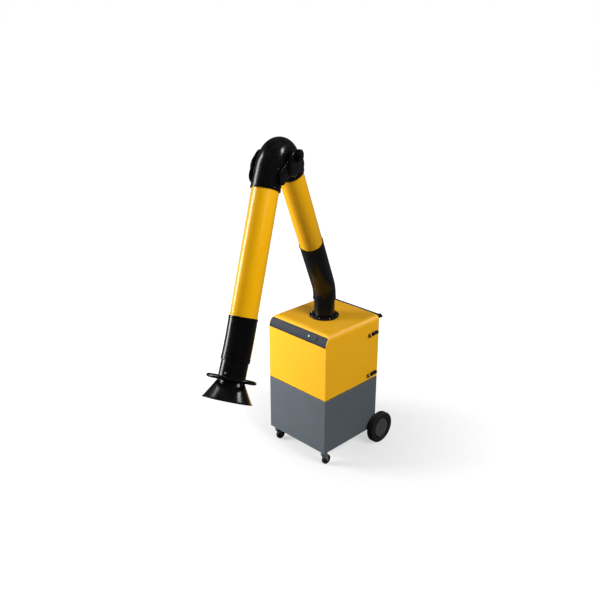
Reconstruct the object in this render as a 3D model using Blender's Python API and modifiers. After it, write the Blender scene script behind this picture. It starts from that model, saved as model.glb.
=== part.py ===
"""Mobile fume extractor: a wheeled filter cabinet that carries a jointed extraction arm.

Units are metres, +Z is up and the front of the cabinet faces -Y.
The origin is the centre of the cabinet's underside.
"""

import math

import bmesh
import bpy
from mathutils import Matrix, Vector

# Clearances
TOUCH = 0.0003
RUNNING = 0.0005
SEAM = 0.0008
PIN_PLAY = 0.0003

# Roundness of turned pieces
LARGE_SIDES = 28
WHEEL_SIDES = 32
CASTOR_SIDES = 20
SMALL_SIDES = 16
RING_BAR_SIDES = 8
WIRE_SIDES = 8
LINK_STEPS = 5

# Cabinet
CABINET_WIDTH = 0.600
CABINET_DEPTH = 0.600
CABINET_HEIGHT = 0.976
SPLIT_HEIGHT = 0.455
SHEET = 0.003
TOP_EDGE_RADIUS = 0.040
FRONT_EDGE_RADIUS = 0.087
EDGE_STEPS = 6
FRONT_EDGE_STEPS = 12
DECK_THICKNESS = 0.003
DECK_INSET = 0.002
DECK_HOLE_RADIUS = 0.105
PANEL_HEIGHT = 0.087
PANEL_DEPTH = 0.036
COVER_DEPTH = 0.100
COVER_TOP_DROP = 0.052

# Control panel fittings
BUTTON_X = 0.190
LAMP_X = 0.118
FITTING_DROP = 0.044
BUTTON_RADIUS = 0.0085
BUTTON_PROUD = 0.004
BUTTON_LENGTH = 0.014
LAMP_RADIUS = 0.007
LAMP_PROUD = 0.002
LAMP_LENGTH = 0.010
MODULE_SIZE = (0.150, 0.030, 0.026)

# Push handle
HANDLE_RADIUS = 0.009
HANDLE_STANDOFF = 0.036
HANDLE_DROP = 0.020
HANDLE_END_INSET = 0.004
HANDLE_BRACKET_WIDTH = 0.022
HANDLE_BRACKET_HEIGHT = 0.030
HANDLE_BRACKET_WRAP = 0.014

# Filter and fan
CASSETTE_MARGIN = 0.045
CASSETTE_HEIGHT = 0.240
FAN_INLET_GAP = 0.026
IMPELLER_RADIUS = 0.130
IMPELLER_DISC = 0.004
BLADE_COUNT = 8
BLADE_HEIGHT = 0.036
BLADE_THICKNESS = 0.003
BLADE_INNER_RADIUS = 0.058
BLADE_SWEEP = 35.0
BLADE_SINK = 0.001
IMPELLER_HUB_RADIUS = 0.030
SHAFT_RADIUS = 0.012
MOTOR_RADIUS = 0.080
MOTOR_LENGTH = 0.130
MOTOR_GAP = 0.010
BRACKET_WIDTH = 0.300
BRACKET_DEPTH = 0.200
BRACKET_PLATE = 0.006
GRILLE_WIDTH = 0.340
GRILLE_HEIGHT = 0.150
GRILLE_CENTRE_Z = 0.215
GRILLE_THICKNESS = 0.004
GRILLE_SLOTS = 7
GRILLE_SLOT_HEIGHT = 0.010
GRILLE_BORDER = 0.022
INLET_BOX_SIZE = (0.052, 0.020, 0.034)
INLET_BOX_RECESS = (0.028, 0.012, 0.020)
INLET_BOX_X = -0.215
INLET_BOX_Z = 0.365

# Rear wheels
GROUND_CLEARANCE = 0.130
WHEEL_RADIUS = 0.130
TYRE_WIDTH = 0.060
TYRE_ROUND = 0.010
RIM_RADIUS = 0.085
HUB_DISH = 0.007
HUB_WALL = 0.007
HUB_BOSS_RADIUS = 0.026
WHEEL_SIDE_GAP = 0.008
AXLE_RADIUS = 0.010
AXLE_BEHIND = 0.013
AXLE_BRACKET_X = 0.235
AXLE_BRACKET_THICKNESS = 0.006
AXLE_BRACKET_REACH = 0.090
AXLE_BOSS_RADIUS = 0.021

# Castors
CASTOR_INSET = 0.043
CASTOR_PLATE = 0.070
CASTOR_PLATE_THICKNESS = 0.004
CASTOR_HEAD_RADIUS = 0.027
CASTOR_HEAD_HEIGHT = 0.026
CASTOR_CROWN = 0.004
CASTOR_TRAIL = 0.024
CASTOR_WHEEL_RADIUS = 0.040
CASTOR_WHEEL_WIDTH = 0.028
CASTOR_WHEEL_ROUND = 0.004
CASTOR_PIN_RADIUS = 0.004
FORK_SHEET = 0.003
FORK_GAP = 0.0015
FORK_TOP_HALF = 0.022
FORK_EYE_RADIUS = 0.011

# Draw latches on the right side
LATCH_UPPER_DROP = 0.080
LATCH_LOWER_RISE = 0.0417
LATCH_PLATE = 0.0015
LATCH_PLATE_HEIGHT = 0.034
LATCH_PLATE_LENGTH = 0.060
LATCH_PIVOT_BEHIND = 0.022
LATCH_PIVOT_PROUD = 0.0085
LATCH_PIN_RADIUS = 0.002
LATCH_EAR_RADIUS = 0.0060
LATCH_EAR_SHEET = 0.002
LATCH_LEVER_LENGTH = 0.066
LATCH_LEVER_NOSE = 0.0045
LATCH_LEVER_HALF = 0.010
LATCH_LEVER_DEPTH = 0.0085
BAIL_PIVOT_BEHIND = 0.014
BAIL_WIRE_RADIUS = 0.0015
BAIL_SIDE_GAP = 0.0015
BAIL_BEND_RADIUS = 0.005
KEEPER_AHEAD = 0.012
KEEPER_LENGTH = 0.011
KEEPER_HALF = 0.011
KEEPER_PROUD = 0.015
BAIL_END_GAP = 0.0010

# Arm pose: turned towards +X from the front, tubes measured from the vertical, hood from its tube
ARM_TURN = 22.1
LOWER_TILT = 32.3
FRONT_TILT = 25.3
WRIST_TILT = -4.5

# Arm tubes and hoses
TUBE_RADIUS = 0.083
TUBE_WALL = 0.003
HOSE_WALL = 0.0025
HOSE_OVERLAP = 0.020
HOSE_STEPS = 5

# Arm foot
FLANGE_RADIUS = 0.113
FLANGE_THICKNESS = 0.012
FLANGE_CHAMFER = 0.002
SPIGOT_DEPTH = 0.010
SPIGOT_WALL = 0.0105
COLLAR_RADIUS = 0.079
COLLAR_WALL = 0.0045
COLLAR_SHOULDER = 0.005
COLLAR_SHOULDER_HEIGHT = 0.006
COLLAR_LIP = 0.008
COLLAR_LIP_HEIGHT = 0.007
COLLAR_STEP_HEIGHT = 0.141
COLLAR_TOP_HEIGHT = 0.1505

# Shoulder joint
SHOULDER_HEIGHT = 0.221
SHOULDER_BEND_LENGTH = 0.070
SHOULDER_PIN_RADIUS = 0.008
SHOULDER_PIN_END = 0.004
TONGUE_HALF = 0.010
TONGUE_RADIUS = 0.018
CHEEK_SHEET = 0.005
CHEEK_RADIUS = 0.020
CHEEK_FOOT = 0.060
STRIP_HALF = 0.012
STRIP_HEIGHT = 0.016

# Lower arm and elbow
LOWER_TUBE_START = 0.505
ELBOW_REACH = 1.372
ELBOW_OFFSET = 0.1055
LOWER_COLLAR_END = 0.180
UPPER_COLLAR_END = 0.197
ELBOW_COLLAR_TOP = 0.072
ELBOW_TUBE_END = 0.112
ELBOW_COLLAR_WALL = 0.0035
ELBOW_BEND_RADIUS = 0.143
EAR_FOOT = 0.112
EAR_FOOT_RADIUS = 0.048
EAR_EYE_RADIUS = 0.055
EAR_SHEET = 0.006
FRICTION_DISC = 0.003
FRICTION_RADIUS = 0.046
ELBOW_BOLT_RADIUS = 0.010
LEFT_HUB_RADIUS = 0.070
RIGHT_HUB_RADIUS = 0.080
HUB_ROUND = 0.008
STUD_SINK = 0.005
LEFT_HUB_LENGTH = 0.030
RIGHT_HUB_LENGTH = 0.020
KNOB_RADIUS = 0.040
KNOB_LENGTH = 0.030
KNOB_RISE = 0.050
KNOB_LOBES = 8
KNOB_LOBE_DEPTH = 0.004

# Front arm, wrist and hood, measured down the front tube from the elbow pivot
FRONT_TUBE_END = 0.978
WRIST_HOSE_LENGTH = 0.232
WRIST_PIVOT = 1.098
WRIST_BEND_LENGTH = 0.045
WRIST_PIN_RADIUS = 0.006
WRIST_TONGUE_HALF = 0.008
WRIST_TONGUE_RADIUS = 0.015
WRIST_CHEEK_SHEET = 0.004
CUFF_DEPTH = 0.060
CUFF_LIP = 0.0035
CUFF_LIP_HEIGHT = 0.012
CUFF_WALL = 0.006
NECK_RADIUS = 0.082
NECK_WALL = 0.003
NECK_LENGTH = 0.118
NECK_SPIGOT = 0.032
HOOD_MOUTH_RADIUS = 0.150
HOOD_LIP = 0.006
HOOD_LIP_HEIGHT = 0.006
HOOD_LENGTH = 0.114
HOOD_WALL = 0.003
DAMPER_BACK = 0.040
DAMPER_GAP = 0.004
DAMPER_SHEET = 0.003
DAMPER_SHAFT_RADIUS = 0.004
DAMPER_KNOB_RADIUS = 0.012
DAMPER_KNOB_LENGTH = 0.018
HANDLE_BACK = 0.014
RING_RADIUS = 0.138
RING_BAR_RADIUS = 0.012
RING_SLEEVE_WALL = 0.007
RING_SLEEVE_HALF = 0.010
RING_SPOKE_HALF = 0.011
RING_SPOKE_DEPTH = 0.006
RING_SPOKE_ANGLES = (-7.0, 113.0, 233.0)
SPOKE_SINK = 0.003


def flat_radius(radius, sides=LARGE_SIDES):
    """The radius to the middle of a side of a round piece."""
    return radius * math.cos(math.pi / sides)


def clear_bore(radius, play, sides=LARGE_SIDES):
    """The corner radius of a bore whose sides clear a round piece."""
    return (radius + play) / math.cos(math.pi / sides)


# Worked out from the sizes above
HALF_WIDTH = CABINET_WIDTH / 2
HALF_DEPTH = CABINET_DEPTH / 2
FLOOR_Z = -GROUND_CLEARANCE
PANEL_BOTTOM = CABINET_HEIGHT - PANEL_HEIGHT
COVER_FRONT = HALF_DEPTH - COVER_DEPTH
COVER_TOP = CABINET_HEIGHT - COVER_TOP_DROP
DECK_BOTTOM = SPLIT_HEIGHT
DECK_TOP = DECK_BOTTOM + DECK_THICKNESS
UPPER_BOTTOM = DECK_TOP + TOUCH
LATCH_HEIGHTS = {"upper": COVER_TOP - LATCH_UPPER_DROP, "lower": UPPER_BOTTOM + LATCH_LOWER_RISE}
TUBE_BORE = TUBE_RADIUS - TUBE_WALL
HOSE_BORE = clear_bore(TUBE_RADIUS, RUNNING)
HOSE_RADIUS = HOSE_BORE + HOSE_WALL
COLLAR_BORE = COLLAR_RADIUS - COLLAR_WALL
FLANGE_BORE = clear_bore(COLLAR_RADIUS, RUNNING)
SPIGOT_RADIUS = FLANGE_BORE + SPIGOT_WALL
ELBOW_INCLUDED = LOWER_TILT + FRONT_TILT
CHEEK_INNER = TONGUE_HALF + RUNNING
HOSE_SEAT = clear_bore(HOSE_RADIUS, TOUCH)
EAR_INNER = HOSE_RADIUS + SEAM
FRICTION_INNER = EAR_INNER + EAR_SHEET + TOUCH
OUTER_EAR_INNER = FRICTION_INNER + FRICTION_DISC + TOUCH
HUB_INNER = OUTER_EAR_INNER + EAR_SHEET + TOUCH
KNOB_INNER = HUB_INNER + RIGHT_HUB_LENGTH + TOUCH
WRIST_HOSE_START = FRONT_TUBE_END - HOSE_OVERLAP
WRIST_HOSE_END = FRONT_TUBE_END + WRIST_HOSE_LENGTH
CUFF_START = WRIST_HOSE_END - CUFF_DEPTH
CUFF_LIP_START = WRIST_HOSE_END + TOUCH
CUFF_END = CUFF_LIP_START + CUFF_LIP_HEIGHT
CUFF_BORE = TUBE_RADIUS - CUFF_WALL
NECK_START = CUFF_END + TOUCH
NECK_END = NECK_START + NECK_LENGTH
HOOD_START = NECK_END + TOUCH
DAMPER_STATION = NECK_END - DAMPER_BACK
RING_STATION = NECK_END - HANDLE_BACK

# Colour, roughness and metallic value of each finish
FINISHES = {
    "yellow_paint": ((0.830, 0.500, 0.020), 0.32, 0.0),
    "grey_paint": ((0.130, 0.150, 0.170), 0.42, 0.0),
    "panel_film": ((0.085, 0.100, 0.140), 0.38, 0.0),
    "black_plastic": ((0.010, 0.010, 0.012), 0.25, 0.0),
    "black_hose": ((0.012, 0.012, 0.014), 0.30, 0.0),
    "black_rubber": ((0.012, 0.012, 0.013), 0.70, 0.0),
    "hub_plastic": ((0.040, 0.041, 0.044), 0.45, 0.0),
    "zinc_steel": ((0.420, 0.430, 0.440), 0.35, 1.0),
    "motor_cast": ((0.150, 0.155, 0.160), 0.55, 0.6),
    "filter_media": ((0.720, 0.710, 0.680), 0.90, 0.0),
    "friction_fibre": ((0.190, 0.130, 0.080), 0.85, 0.0),
    "green_lens": ((0.050, 0.620, 0.180), 0.20, 0.0),
}


def clear_scene():
    """Remove every object that the file starts with."""
    for old in list(bpy.data.objects):
        bpy.data.objects.remove(old, do_unlink=True)


def new_collection(name):
    """Return a collection of this name, linked to the scene."""
    made = bpy.data.collections.new(name)
    bpy.context.scene.collection.children.link(made)
    return made


clear_scene()
PARTS = new_collection("mobile_fume_extractor")
CUTTERS = new_collection("cutters")


def finish_material(name):
    """Return the named finish, made on first use."""
    found = bpy.data.materials.get(name)
    if found:
        return found
    colour, roughness, metallic = FINISHES[name]
    made = bpy.data.materials.new(name)
    made.use_nodes = True
    shader = made.node_tree.nodes["Principled BSDF"]
    shader.inputs["Base Color"].default_value = (*colour, 1.0)
    shader.inputs["Roughness"].default_value = roughness
    shader.inputs["Metallic"].default_value = metallic
    return made


def new_empty(name, location=(0, 0, 0), rotation=(0, 0, 0), parent=None, order="XYZ"):
    """Add an empty that carries pieces on a joint's axis."""
    made = bpy.data.objects.new(name, None)
    PARTS.objects.link(made)
    made.location = location
    made.rotation_mode = order
    made.rotation_euler = rotation
    made.parent = parent
    return made


def new_part(name, mesh, finish, parent=None, location=(0, 0, 0), rotation=(0, 0, 0)):
    """Add a named piece with its own finish."""
    mesh.name = name
    mesh.materials.clear()
    mesh.materials.append(finish_material(finish))
    made = bpy.data.objects.new(name, mesh)
    PARTS.objects.link(made)
    made.location = location
    made.rotation_euler = rotation
    made.parent = parent
    return made


def new_cutter(name, mesh, parent=None, location=(0, 0, 0), rotation=(0, 0, 0)):
    """Add a shape that only cuts or joins other pieces."""
    mesh.name = name
    made = bpy.data.objects.new(name, mesh)
    CUTTERS.objects.link(made)
    made.location = location
    made.rotation_euler = rotation
    made.parent = parent
    made.hide_render = True
    made.display_type = "WIRE"
    return made


def combine(target, tool, operation="DIFFERENCE"):
    """Cut, join or intersect one piece with another."""
    step = target.modifiers.new(tool.name, "BOOLEAN")
    step.operation = operation
    step.object = tool
    step.solver = "EXACT"


def mesh_from(shape, name):
    """Turn a finished bmesh into mesh data."""
    mesh = bpy.data.meshes.new(name)
    shape.to_mesh(mesh)
    shape.free()
    return mesh


def box_mesh(low, high):
    """A box between two corners."""
    low = Vector(low)
    high = Vector(high)
    shape = bmesh.new()
    bmesh.ops.create_cube(shape, size=1.0)
    bmesh.ops.scale(shape, vec=high - low, verts=shape.verts)
    bmesh.ops.translate(shape, vec=(low + high) / 2, verts=shape.verts)
    return mesh_from(shape, "box")


def axis_turn(axis):
    """The turn that takes +Z to the named axis."""
    turns = {
        "X": Matrix.Rotation(math.pi / 2, 4, "Y"),
        "Y": Matrix.Rotation(-math.pi / 2, 4, "X"),
        "Z": Matrix.Identity(4),
    }
    return turns[axis]


def cylinder_mesh(radius, start, end, axis="Z", sides=SMALL_SIDES, centre=(0, 0, 0)):
    """A round bar from start to end along an axis through centre."""
    shape = bmesh.new()
    half_side = math.pi / sides
    bmesh.ops.create_cone(
        shape,
        cap_ends=True,
        segments=sides,
        radius1=radius,
        radius2=radius,
        depth=end - start,
        matrix=Matrix.Rotation(half_side, 4, "Z"),
    )
    bmesh.ops.translate(shape, vec=(0, 0, (start + end) / 2), verts=shape.verts)
    bmesh.ops.transform(shape, matrix=Matrix.Translation(centre) @ axis_turn(axis), verts=shape.verts)
    for face in shape.faces:
        face.smooth = len(face.verts) == 4
    return mesh_from(shape, "cylinder")


def profile_mesh(points):
    """A closed section at +X whose points run down its outer side."""
    shape = bmesh.new()
    verts = [shape.verts.new((radius, 0, height)) for radius, height in points]
    for first, second in zip(verts, verts[1:] + verts[:1]):
        shape.edges.new((first, second))
    return mesh_from(shape, "profile")


def add_screw(target, sides):
    """Turn a section once round its Z axis."""
    step = target.modifiers.new("turn", "SCREW")
    step.axis = "Z"
    step.steps = sides
    step.render_steps = sides
    step.use_merge_vertices = True
    step.merge_threshold = 0.00001
    step.use_smooth_shade = True


def turned_part(name, points, finish, sides=LARGE_SIDES, **place):
    """A turned piece from its section."""
    made = new_part(name, profile_mesh(points), finish, **place)
    add_screw(made, sides)
    return made


def turned_cutter(name, points, sides=LARGE_SIDES, **place):
    """A turned shape that only cuts or joins."""
    made = new_cutter(name, profile_mesh(points), **place)
    add_screw(made, sides)
    return made


def tube_section(inner, outer, low, high):
    """The section of a plain tube."""
    return [(outer, high), (outer, low), (inner, low), (inner, high)]


def arc(centre, radius, start, end, steps):
    """Points on an arc, with angles in degrees."""
    points = []
    for step in range(steps + 1):
        angle = math.radians(start + (end - start) * step / steps)
        points.append((centre[0] + radius * math.cos(angle), centre[1] + radius * math.sin(angle)))
    return points


def circle_loop(centre, radius, sides=SMALL_SIDES):
    """A full circle as a loop of points."""
    return arc(centre, radius, 0, 360, sides)[:-1]


def link_loop(first, first_radius, second, second_radius, steps=LINK_STEPS):
    """The outline that wraps two circles, as on a link or a lever."""
    across = Vector(second) - Vector(first)
    heading = math.degrees(math.atan2(across.y, across.x))
    spread = math.degrees(math.acos((first_radius - second_radius) / across.length))
    near = arc(first, first_radius, heading + spread, heading + 360 - spread, steps)
    far = arc(second, second_radius, heading - spread, heading + spread, steps)
    return near + far


def rectangle_loop(left, right, bottom, top):
    """A rectangle as a loop of points."""
    return [(left, bottom), (right, bottom), (right, top), (left, top)]


PLANES = {
    "XY": Matrix.Identity(4),
    "XZ": Matrix.Rotation(math.pi / 2, 4, "X"),
    "YZ": Matrix.Rotation(math.pi / 2, 4, "Z") @ Matrix.Rotation(math.pi / 2, 4, "X"),
}


def curve_to_mesh(curve):
    """Turn curve data into welded mesh data."""
    holder = bpy.data.objects.new("outline", curve)
    CUTTERS.objects.link(holder)
    graph = bpy.context.evaluated_depsgraph_get()
    mesh = bpy.data.meshes.new_from_object(holder.evaluated_get(graph))
    bpy.data.objects.remove(holder, do_unlink=True)
    bpy.data.curves.remove(curve)
    shape = bmesh.new()
    shape.from_mesh(mesh)
    bmesh.ops.remove_doubles(shape, verts=shape.verts, dist=0.00001)
    shape.to_mesh(mesh)
    shape.free()
    return mesh


def outline_mesh(loops, thickness, plane="XY", offset=0.0):
    """A flat plate with these outlines, centred on offset along the plane's normal."""
    curve = bpy.data.curves.new("outline", "CURVE")
    curve.dimensions = "2D"
    curve.fill_mode = "BOTH"
    curve.extrude = thickness / 2
    for loop in loops:
        spline = curve.splines.new("POLY")
        spline.points.add(len(loop) - 1)
        for point, (across, along) in zip(spline.points, loop):
            point.co = (across, along, 0, 1)
        spline.use_cyclic_u = True
    mesh = curve_to_mesh(curve)
    mesh.transform(PLANES[plane] @ Matrix.Translation((0, 0, offset)))
    return mesh


def path_mesh(points, radius, sides, capped):
    """A round tube along a path."""
    curve = bpy.data.curves.new("path", "CURVE")
    curve.dimensions = "3D"
    curve.bevel_depth = radius
    curve.bevel_resolution = (sides - 4) // 2
    curve.use_fill_caps = capped
    spline = curve.splines.new("POLY")
    spline.points.add(len(points) - 1)
    for point, place in zip(spline.points, points):
        point.co = (*place, 1)
    mesh = curve_to_mesh(curve)
    shape = bmesh.new()
    shape.from_mesh(mesh)
    for face in shape.faces:
        face.smooth = len(face.verts) == 4
    shape.to_mesh(mesh)
    shape.free()
    return mesh


def hose_part(name, points, finish, **place):
    """A hose with its bore, along a path of its centre line."""
    made = new_part(name, path_mesh(points, HOSE_RADIUS, LARGE_SIDES, False), finish, **place)
    wall = made.modifiers.new("wall", "SOLIDIFY")
    wall.thickness = HOSE_WALL
    wall.offset = -1.0
    wall.use_even_offset = True
    return made


def strip_half_length(bore, half_width):
    """Half the length of a flat strip that spans a round bore."""
    reach = flat_radius(bore) - TOUCH
    return math.sqrt(reach * reach - half_width * half_width)


# Casings and panel


def casing_outline(offset, bottom):
    """The cabinet seen from the front, drawn in by offset."""
    side = HALF_WIDTH - offset
    top = CABINET_HEIGHT - offset
    bend = TOP_EDGE_RADIUS - offset
    loop = [(-side, bottom), (side, bottom)]
    loop += arc((side - bend, top - bend), bend, 0, 90, EDGE_STEPS)
    loop += arc((bend - side, top - bend), bend, 90, 180, EDGE_STEPS)
    return loop


def casing_side_outline(offset, bottom):
    """The cabinet seen from the side, with its rounded top front edge."""
    front = HALF_DEPTH - offset
    top = CABINET_HEIGHT - offset
    bend = FRONT_EDGE_RADIUS - offset
    loop = [(-front, bottom), (front, bottom), (front, top)]
    loop += arc((bend - front, top - bend), bend, 90, 180, FRONT_EDGE_STEPS)
    return loop


def front_place(across, drop):
    """Place and tilt of a fitting on the front, at a drop below the top."""
    rise = max(FRONT_EDGE_RADIUS - drop, 0)
    tilt = math.asin(rise / FRONT_EDGE_RADIUS)
    back = FRONT_EDGE_RADIUS * (1 - math.cos(tilt))
    spot = (across, back - HALF_DEPTH, CABINET_HEIGHT - drop)
    return {"location": spot, "rotation": (-tilt, 0, 0)}


def front_inner_face(drop):
    """How far forward the space behind the front wall reaches, at a drop below the top."""
    rise = max(FRONT_EDGE_RADIUS - drop, 0)
    flat = (FRONT_EDGE_RADIUS - SHEET) * math.cos(math.pi / 4 / FRONT_EDGE_STEPS)
    return FRONT_EDGE_RADIUS - HALF_DEPTH - math.sqrt(flat * flat - rise * rise)


def casing_block(offset, bottom):
    """The mesh of the upper cabinet block before its front edge is rounded."""
    return outline_mesh([casing_outline(offset, bottom)], CABINET_DEPTH - 2 * offset, "XZ")


def side_profile_cutter(name, offset, bottom):
    """The cabinet's side outline, used to round the top front edge."""
    mesh = outline_mesh([casing_side_outline(offset, bottom)], 2 * CABINET_WIDTH, "YZ")
    return new_cutter(name, mesh)


def build_casings():
    """The lower and upper casings, the rear cover and the control panel."""
    below = UPPER_BOTTOM - SHEET
    outer_side = side_profile_cutter("casing_side", 0.0, UPPER_BOTTOM)
    inner_side = side_profile_cutter("cavity_side", SHEET, below)
    cavity = new_cutter("cavity", casing_block(SHEET, below))
    combine(cavity, inner_side, "INTERSECT")

    panel_pocket = new_cutter(
        "panel_pocket",
        box_mesh(
            (SHEET - HALF_WIDTH, -CABINET_DEPTH, PANEL_BOTTOM),
            (HALF_WIDTH - SHEET, PANEL_DEPTH - HALF_DEPTH, CABINET_HEIGHT + SHEET),
        ),
    )
    cover_pocket = new_cutter(
        "cover_pocket",
        box_mesh((-CABINET_WIDTH, COVER_FRONT, below), (CABINET_WIDTH, CABINET_DEPTH, COVER_TOP)),
    )
    duct_hole = new_cutter(
        "duct_hole",
        cylinder_mesh(
            clear_bore(SPIGOT_RADIUS, RUNNING),
            CABINET_HEIGHT - 2 * SHEET,
            CABINET_HEIGHT + SHEET,
            sides=LARGE_SIDES,
        ),
    )
    upper = new_part("upper_casing", casing_block(0.0, UPPER_BOTTOM), "yellow_paint")
    combine(upper, outer_side, "INTERSECT")
    for tool in (cavity, panel_pocket, cover_pocket, duct_hole):
        combine(upper, tool)

    cover_room = new_cutter(
        "cover_room",
        box_mesh(
            (-CABINET_WIDTH, COVER_FRONT + SEAM, below),
            (CABINET_WIDTH, CABINET_DEPTH, COVER_TOP - SEAM),
        ),
    )
    cover = new_part("rear_cover", casing_block(0.0, UPPER_BOTTOM), "yellow_paint")
    combine(cover, cover_room, "INTERSECT")
    combine(cover, cavity)

    panel_room = new_cutter(
        "panel_room",
        box_mesh(
            (SHEET + SEAM - HALF_WIDTH, -CABINET_DEPTH, PANEL_BOTTOM + SEAM),
            (HALF_WIDTH - SHEET - SEAM, PANEL_DEPTH - SEAM - HALF_DEPTH, CABINET_HEIGHT + SHEET),
        ),
    )
    panel = new_part("control_panel", casing_block(0.0, UPPER_BOTTOM), "panel_film")
    combine(panel, outer_side, "INTERSECT")
    combine(panel, panel_room, "INTERSECT")
    combine(panel, cavity)
    for name, across, radius in (("button", BUTTON_X, BUTTON_RADIUS), ("lamp", LAMP_X, LAMP_RADIUS)):
        hole = cylinder_mesh(radius + RUNNING, -PANEL_DEPTH, PANEL_DEPTH, axis="Y")
        combine(panel, new_cutter(name + "_hole", hole, **front_place(across, FITTING_DROP)))

    lower = new_part(
        "lower_casing",
        box_mesh((-HALF_WIDTH, -HALF_DEPTH, 0), (HALF_WIDTH, HALF_DEPTH, DECK_BOTTOM - TOUCH)),
        "grey_paint",
    )
    hollow = box_mesh(
        (SHEET - HALF_WIDTH, SHEET - HALF_DEPTH, SHEET),
        (HALF_WIDTH - SHEET, HALF_DEPTH - SHEET, SPLIT_HEIGHT + SHEET),
    )
    combine(lower, new_cutter("lower_hollow", hollow))
    half_width = GRILLE_WIDTH / 2 - GRILLE_BORDER
    half_height = GRILLE_HEIGHT / 2 - GRILLE_BORDER
    outlet = box_mesh(
        (-half_width, HALF_DEPTH - 2 * SHEET, GRILLE_CENTRE_Z - half_height),
        (half_width, HALF_DEPTH + SHEET, GRILLE_CENTRE_Z + half_height),
    )
    combine(lower, new_cutter("outlet_hole", outlet))


def build_panel_fittings():
    """The lamp, the push button and the module behind the panel."""
    new_part(
        "power_button",
        cylinder_mesh(BUTTON_RADIUS, -BUTTON_PROUD, BUTTON_LENGTH - BUTTON_PROUD, axis="Y"),
        "black_plastic",
        **front_place(BUTTON_X, FITTING_DROP),
    )
    new_part(
        "status_lamp",
        cylinder_mesh(LAMP_RADIUS, -LAMP_PROUD, LAMP_LENGTH - LAMP_PROUD, axis="Y"),
        "green_lens",
        **front_place(LAMP_X, FITTING_DROP),
    )
    width, depth, height = MODULE_SIZE
    bottom = PANEL_BOTTOM + SHEET
    inside = front_inner_face(CABINET_HEIGHT - bottom - height) + TOUCH
    centre = (BUTTON_X + LAMP_X) / 2
    new_part(
        "control_module",
        box_mesh(
            (centre - width / 2, inside, bottom),
            (centre + width / 2, inside + depth, bottom + height),
        ),
        "black_plastic",
    )


def build_push_handle():
    """The bar behind the rear top edge, with a bracket at each end."""
    height = CABINET_HEIGHT - HANDLE_DROP
    behind = HALF_DEPTH + HANDLE_STANDOFF
    reach = HALF_WIDTH - HANDLE_END_INSET
    handle = new_part(
        "push_handle",
        cylinder_mesh(HANDLE_RADIUS, -reach, reach, axis="X", centre=(0, behind, height)),
        "black_plastic",
    )
    for side, name in ((-1, "left"), (1, "right")):
        bracket = rectangle_loop(
            HALF_DEPTH + TOUCH,
            behind + HANDLE_BRACKET_WRAP,
            height - HANDLE_BRACKET_HEIGHT / 2,
            height + HANDLE_BRACKET_HEIGHT / 2,
        )
        centre = side * (reach - HANDLE_BRACKET_WIDTH)
        mesh = outline_mesh([bracket], HANDLE_BRACKET_WIDTH, "YZ", centre)
        combine(handle, new_cutter("handle_bracket_" + name, mesh), "UNION")


# Filter, fan and rear fittings


def build_filter():
    """The deck between the casings and the filter cassette on it."""
    half_x = HALF_WIDTH - DECK_INSET
    half_y = HALF_DEPTH - DECK_INSET
    deck = [
        rectangle_loop(-half_x, half_x, -half_y, half_y),
        circle_loop((0, 0), DECK_HOLE_RADIUS, LARGE_SIDES),
    ]
    middle = DECK_BOTTOM + DECK_THICKNESS / 2
    new_part("mid_deck", outline_mesh(deck, DECK_THICKNESS, "XY", middle), "grey_paint")

    half_x = HALF_WIDTH - CASSETTE_MARGIN
    half_y = HALF_DEPTH - CASSETTE_MARGIN
    bottom = DECK_TOP + TOUCH
    new_part(
        "filter_cassette",
        box_mesh((-half_x, -half_y, bottom), (half_x, half_y, bottom + CASSETTE_HEIGHT)),
        "filter_media",
    )


def build_fan():
    """The impeller, the motor and the motor's bracket."""
    blade_top = DECK_BOTTOM - FAN_INLET_GAP
    disc_top = blade_top - BLADE_HEIGHT
    disc_bottom = disc_top - IMPELLER_DISC
    bore = clear_bore(SHAFT_RADIUS, PIN_PLAY)
    section = [
        (IMPELLER_HUB_RADIUS, blade_top),
        (IMPELLER_HUB_RADIUS, disc_top),
        (IMPELLER_RADIUS, disc_top),
        (IMPELLER_RADIUS, disc_bottom),
        (bore, disc_bottom),
        (bore, blade_top),
    ]
    impeller = turned_part("fan_impeller", section, "zinc_steel")
    for blade in range(BLADE_COUNT):
        mesh = box_mesh(
            (0, -BLADE_THICKNESS / 2, disc_top - BLADE_SINK),
            (IMPELLER_RADIUS - BLADE_INNER_RADIUS, BLADE_THICKNESS / 2, blade_top),
        )
        lean = Matrix.Rotation(math.radians(BLADE_SWEEP), 4, "Z")
        spread = Matrix.Rotation(2 * math.pi * blade / BLADE_COUNT, 4, "Z")
        mesh.transform(spread @ Matrix.Translation((BLADE_INNER_RADIUS, 0, 0)) @ lean)
        combine(impeller, new_cutter("blade_%d" % blade, mesh), "UNION")

    motor_top = disc_bottom - MOTOR_GAP
    motor_bottom = motor_top - MOTOR_LENGTH
    motor = new_part(
        "fan_motor", cylinder_mesh(MOTOR_RADIUS, motor_bottom, motor_top, sides=LARGE_SIDES), "motor_cast"
    )
    shaft = cylinder_mesh(SHAFT_RADIUS, motor_top - MOTOR_GAP, blade_top)
    combine(motor, new_cutter("motor_shaft", shaft), "UNION")

    plate_top = motor_bottom - TOUCH
    foot = SHEET + TOUCH
    half = BRACKET_WIDTH / 2
    bridge = [
        (-half, foot),
        (BRACKET_PLATE - half, foot),
        (BRACKET_PLATE - half, plate_top - BRACKET_PLATE),
        (half - BRACKET_PLATE, plate_top - BRACKET_PLATE),
        (half - BRACKET_PLATE, foot),
        (half, foot),
        (half, plate_top),
        (-half, plate_top),
    ]
    new_part("motor_bracket", outline_mesh([bridge], BRACKET_DEPTH, "XZ"), "zinc_steel")


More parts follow.
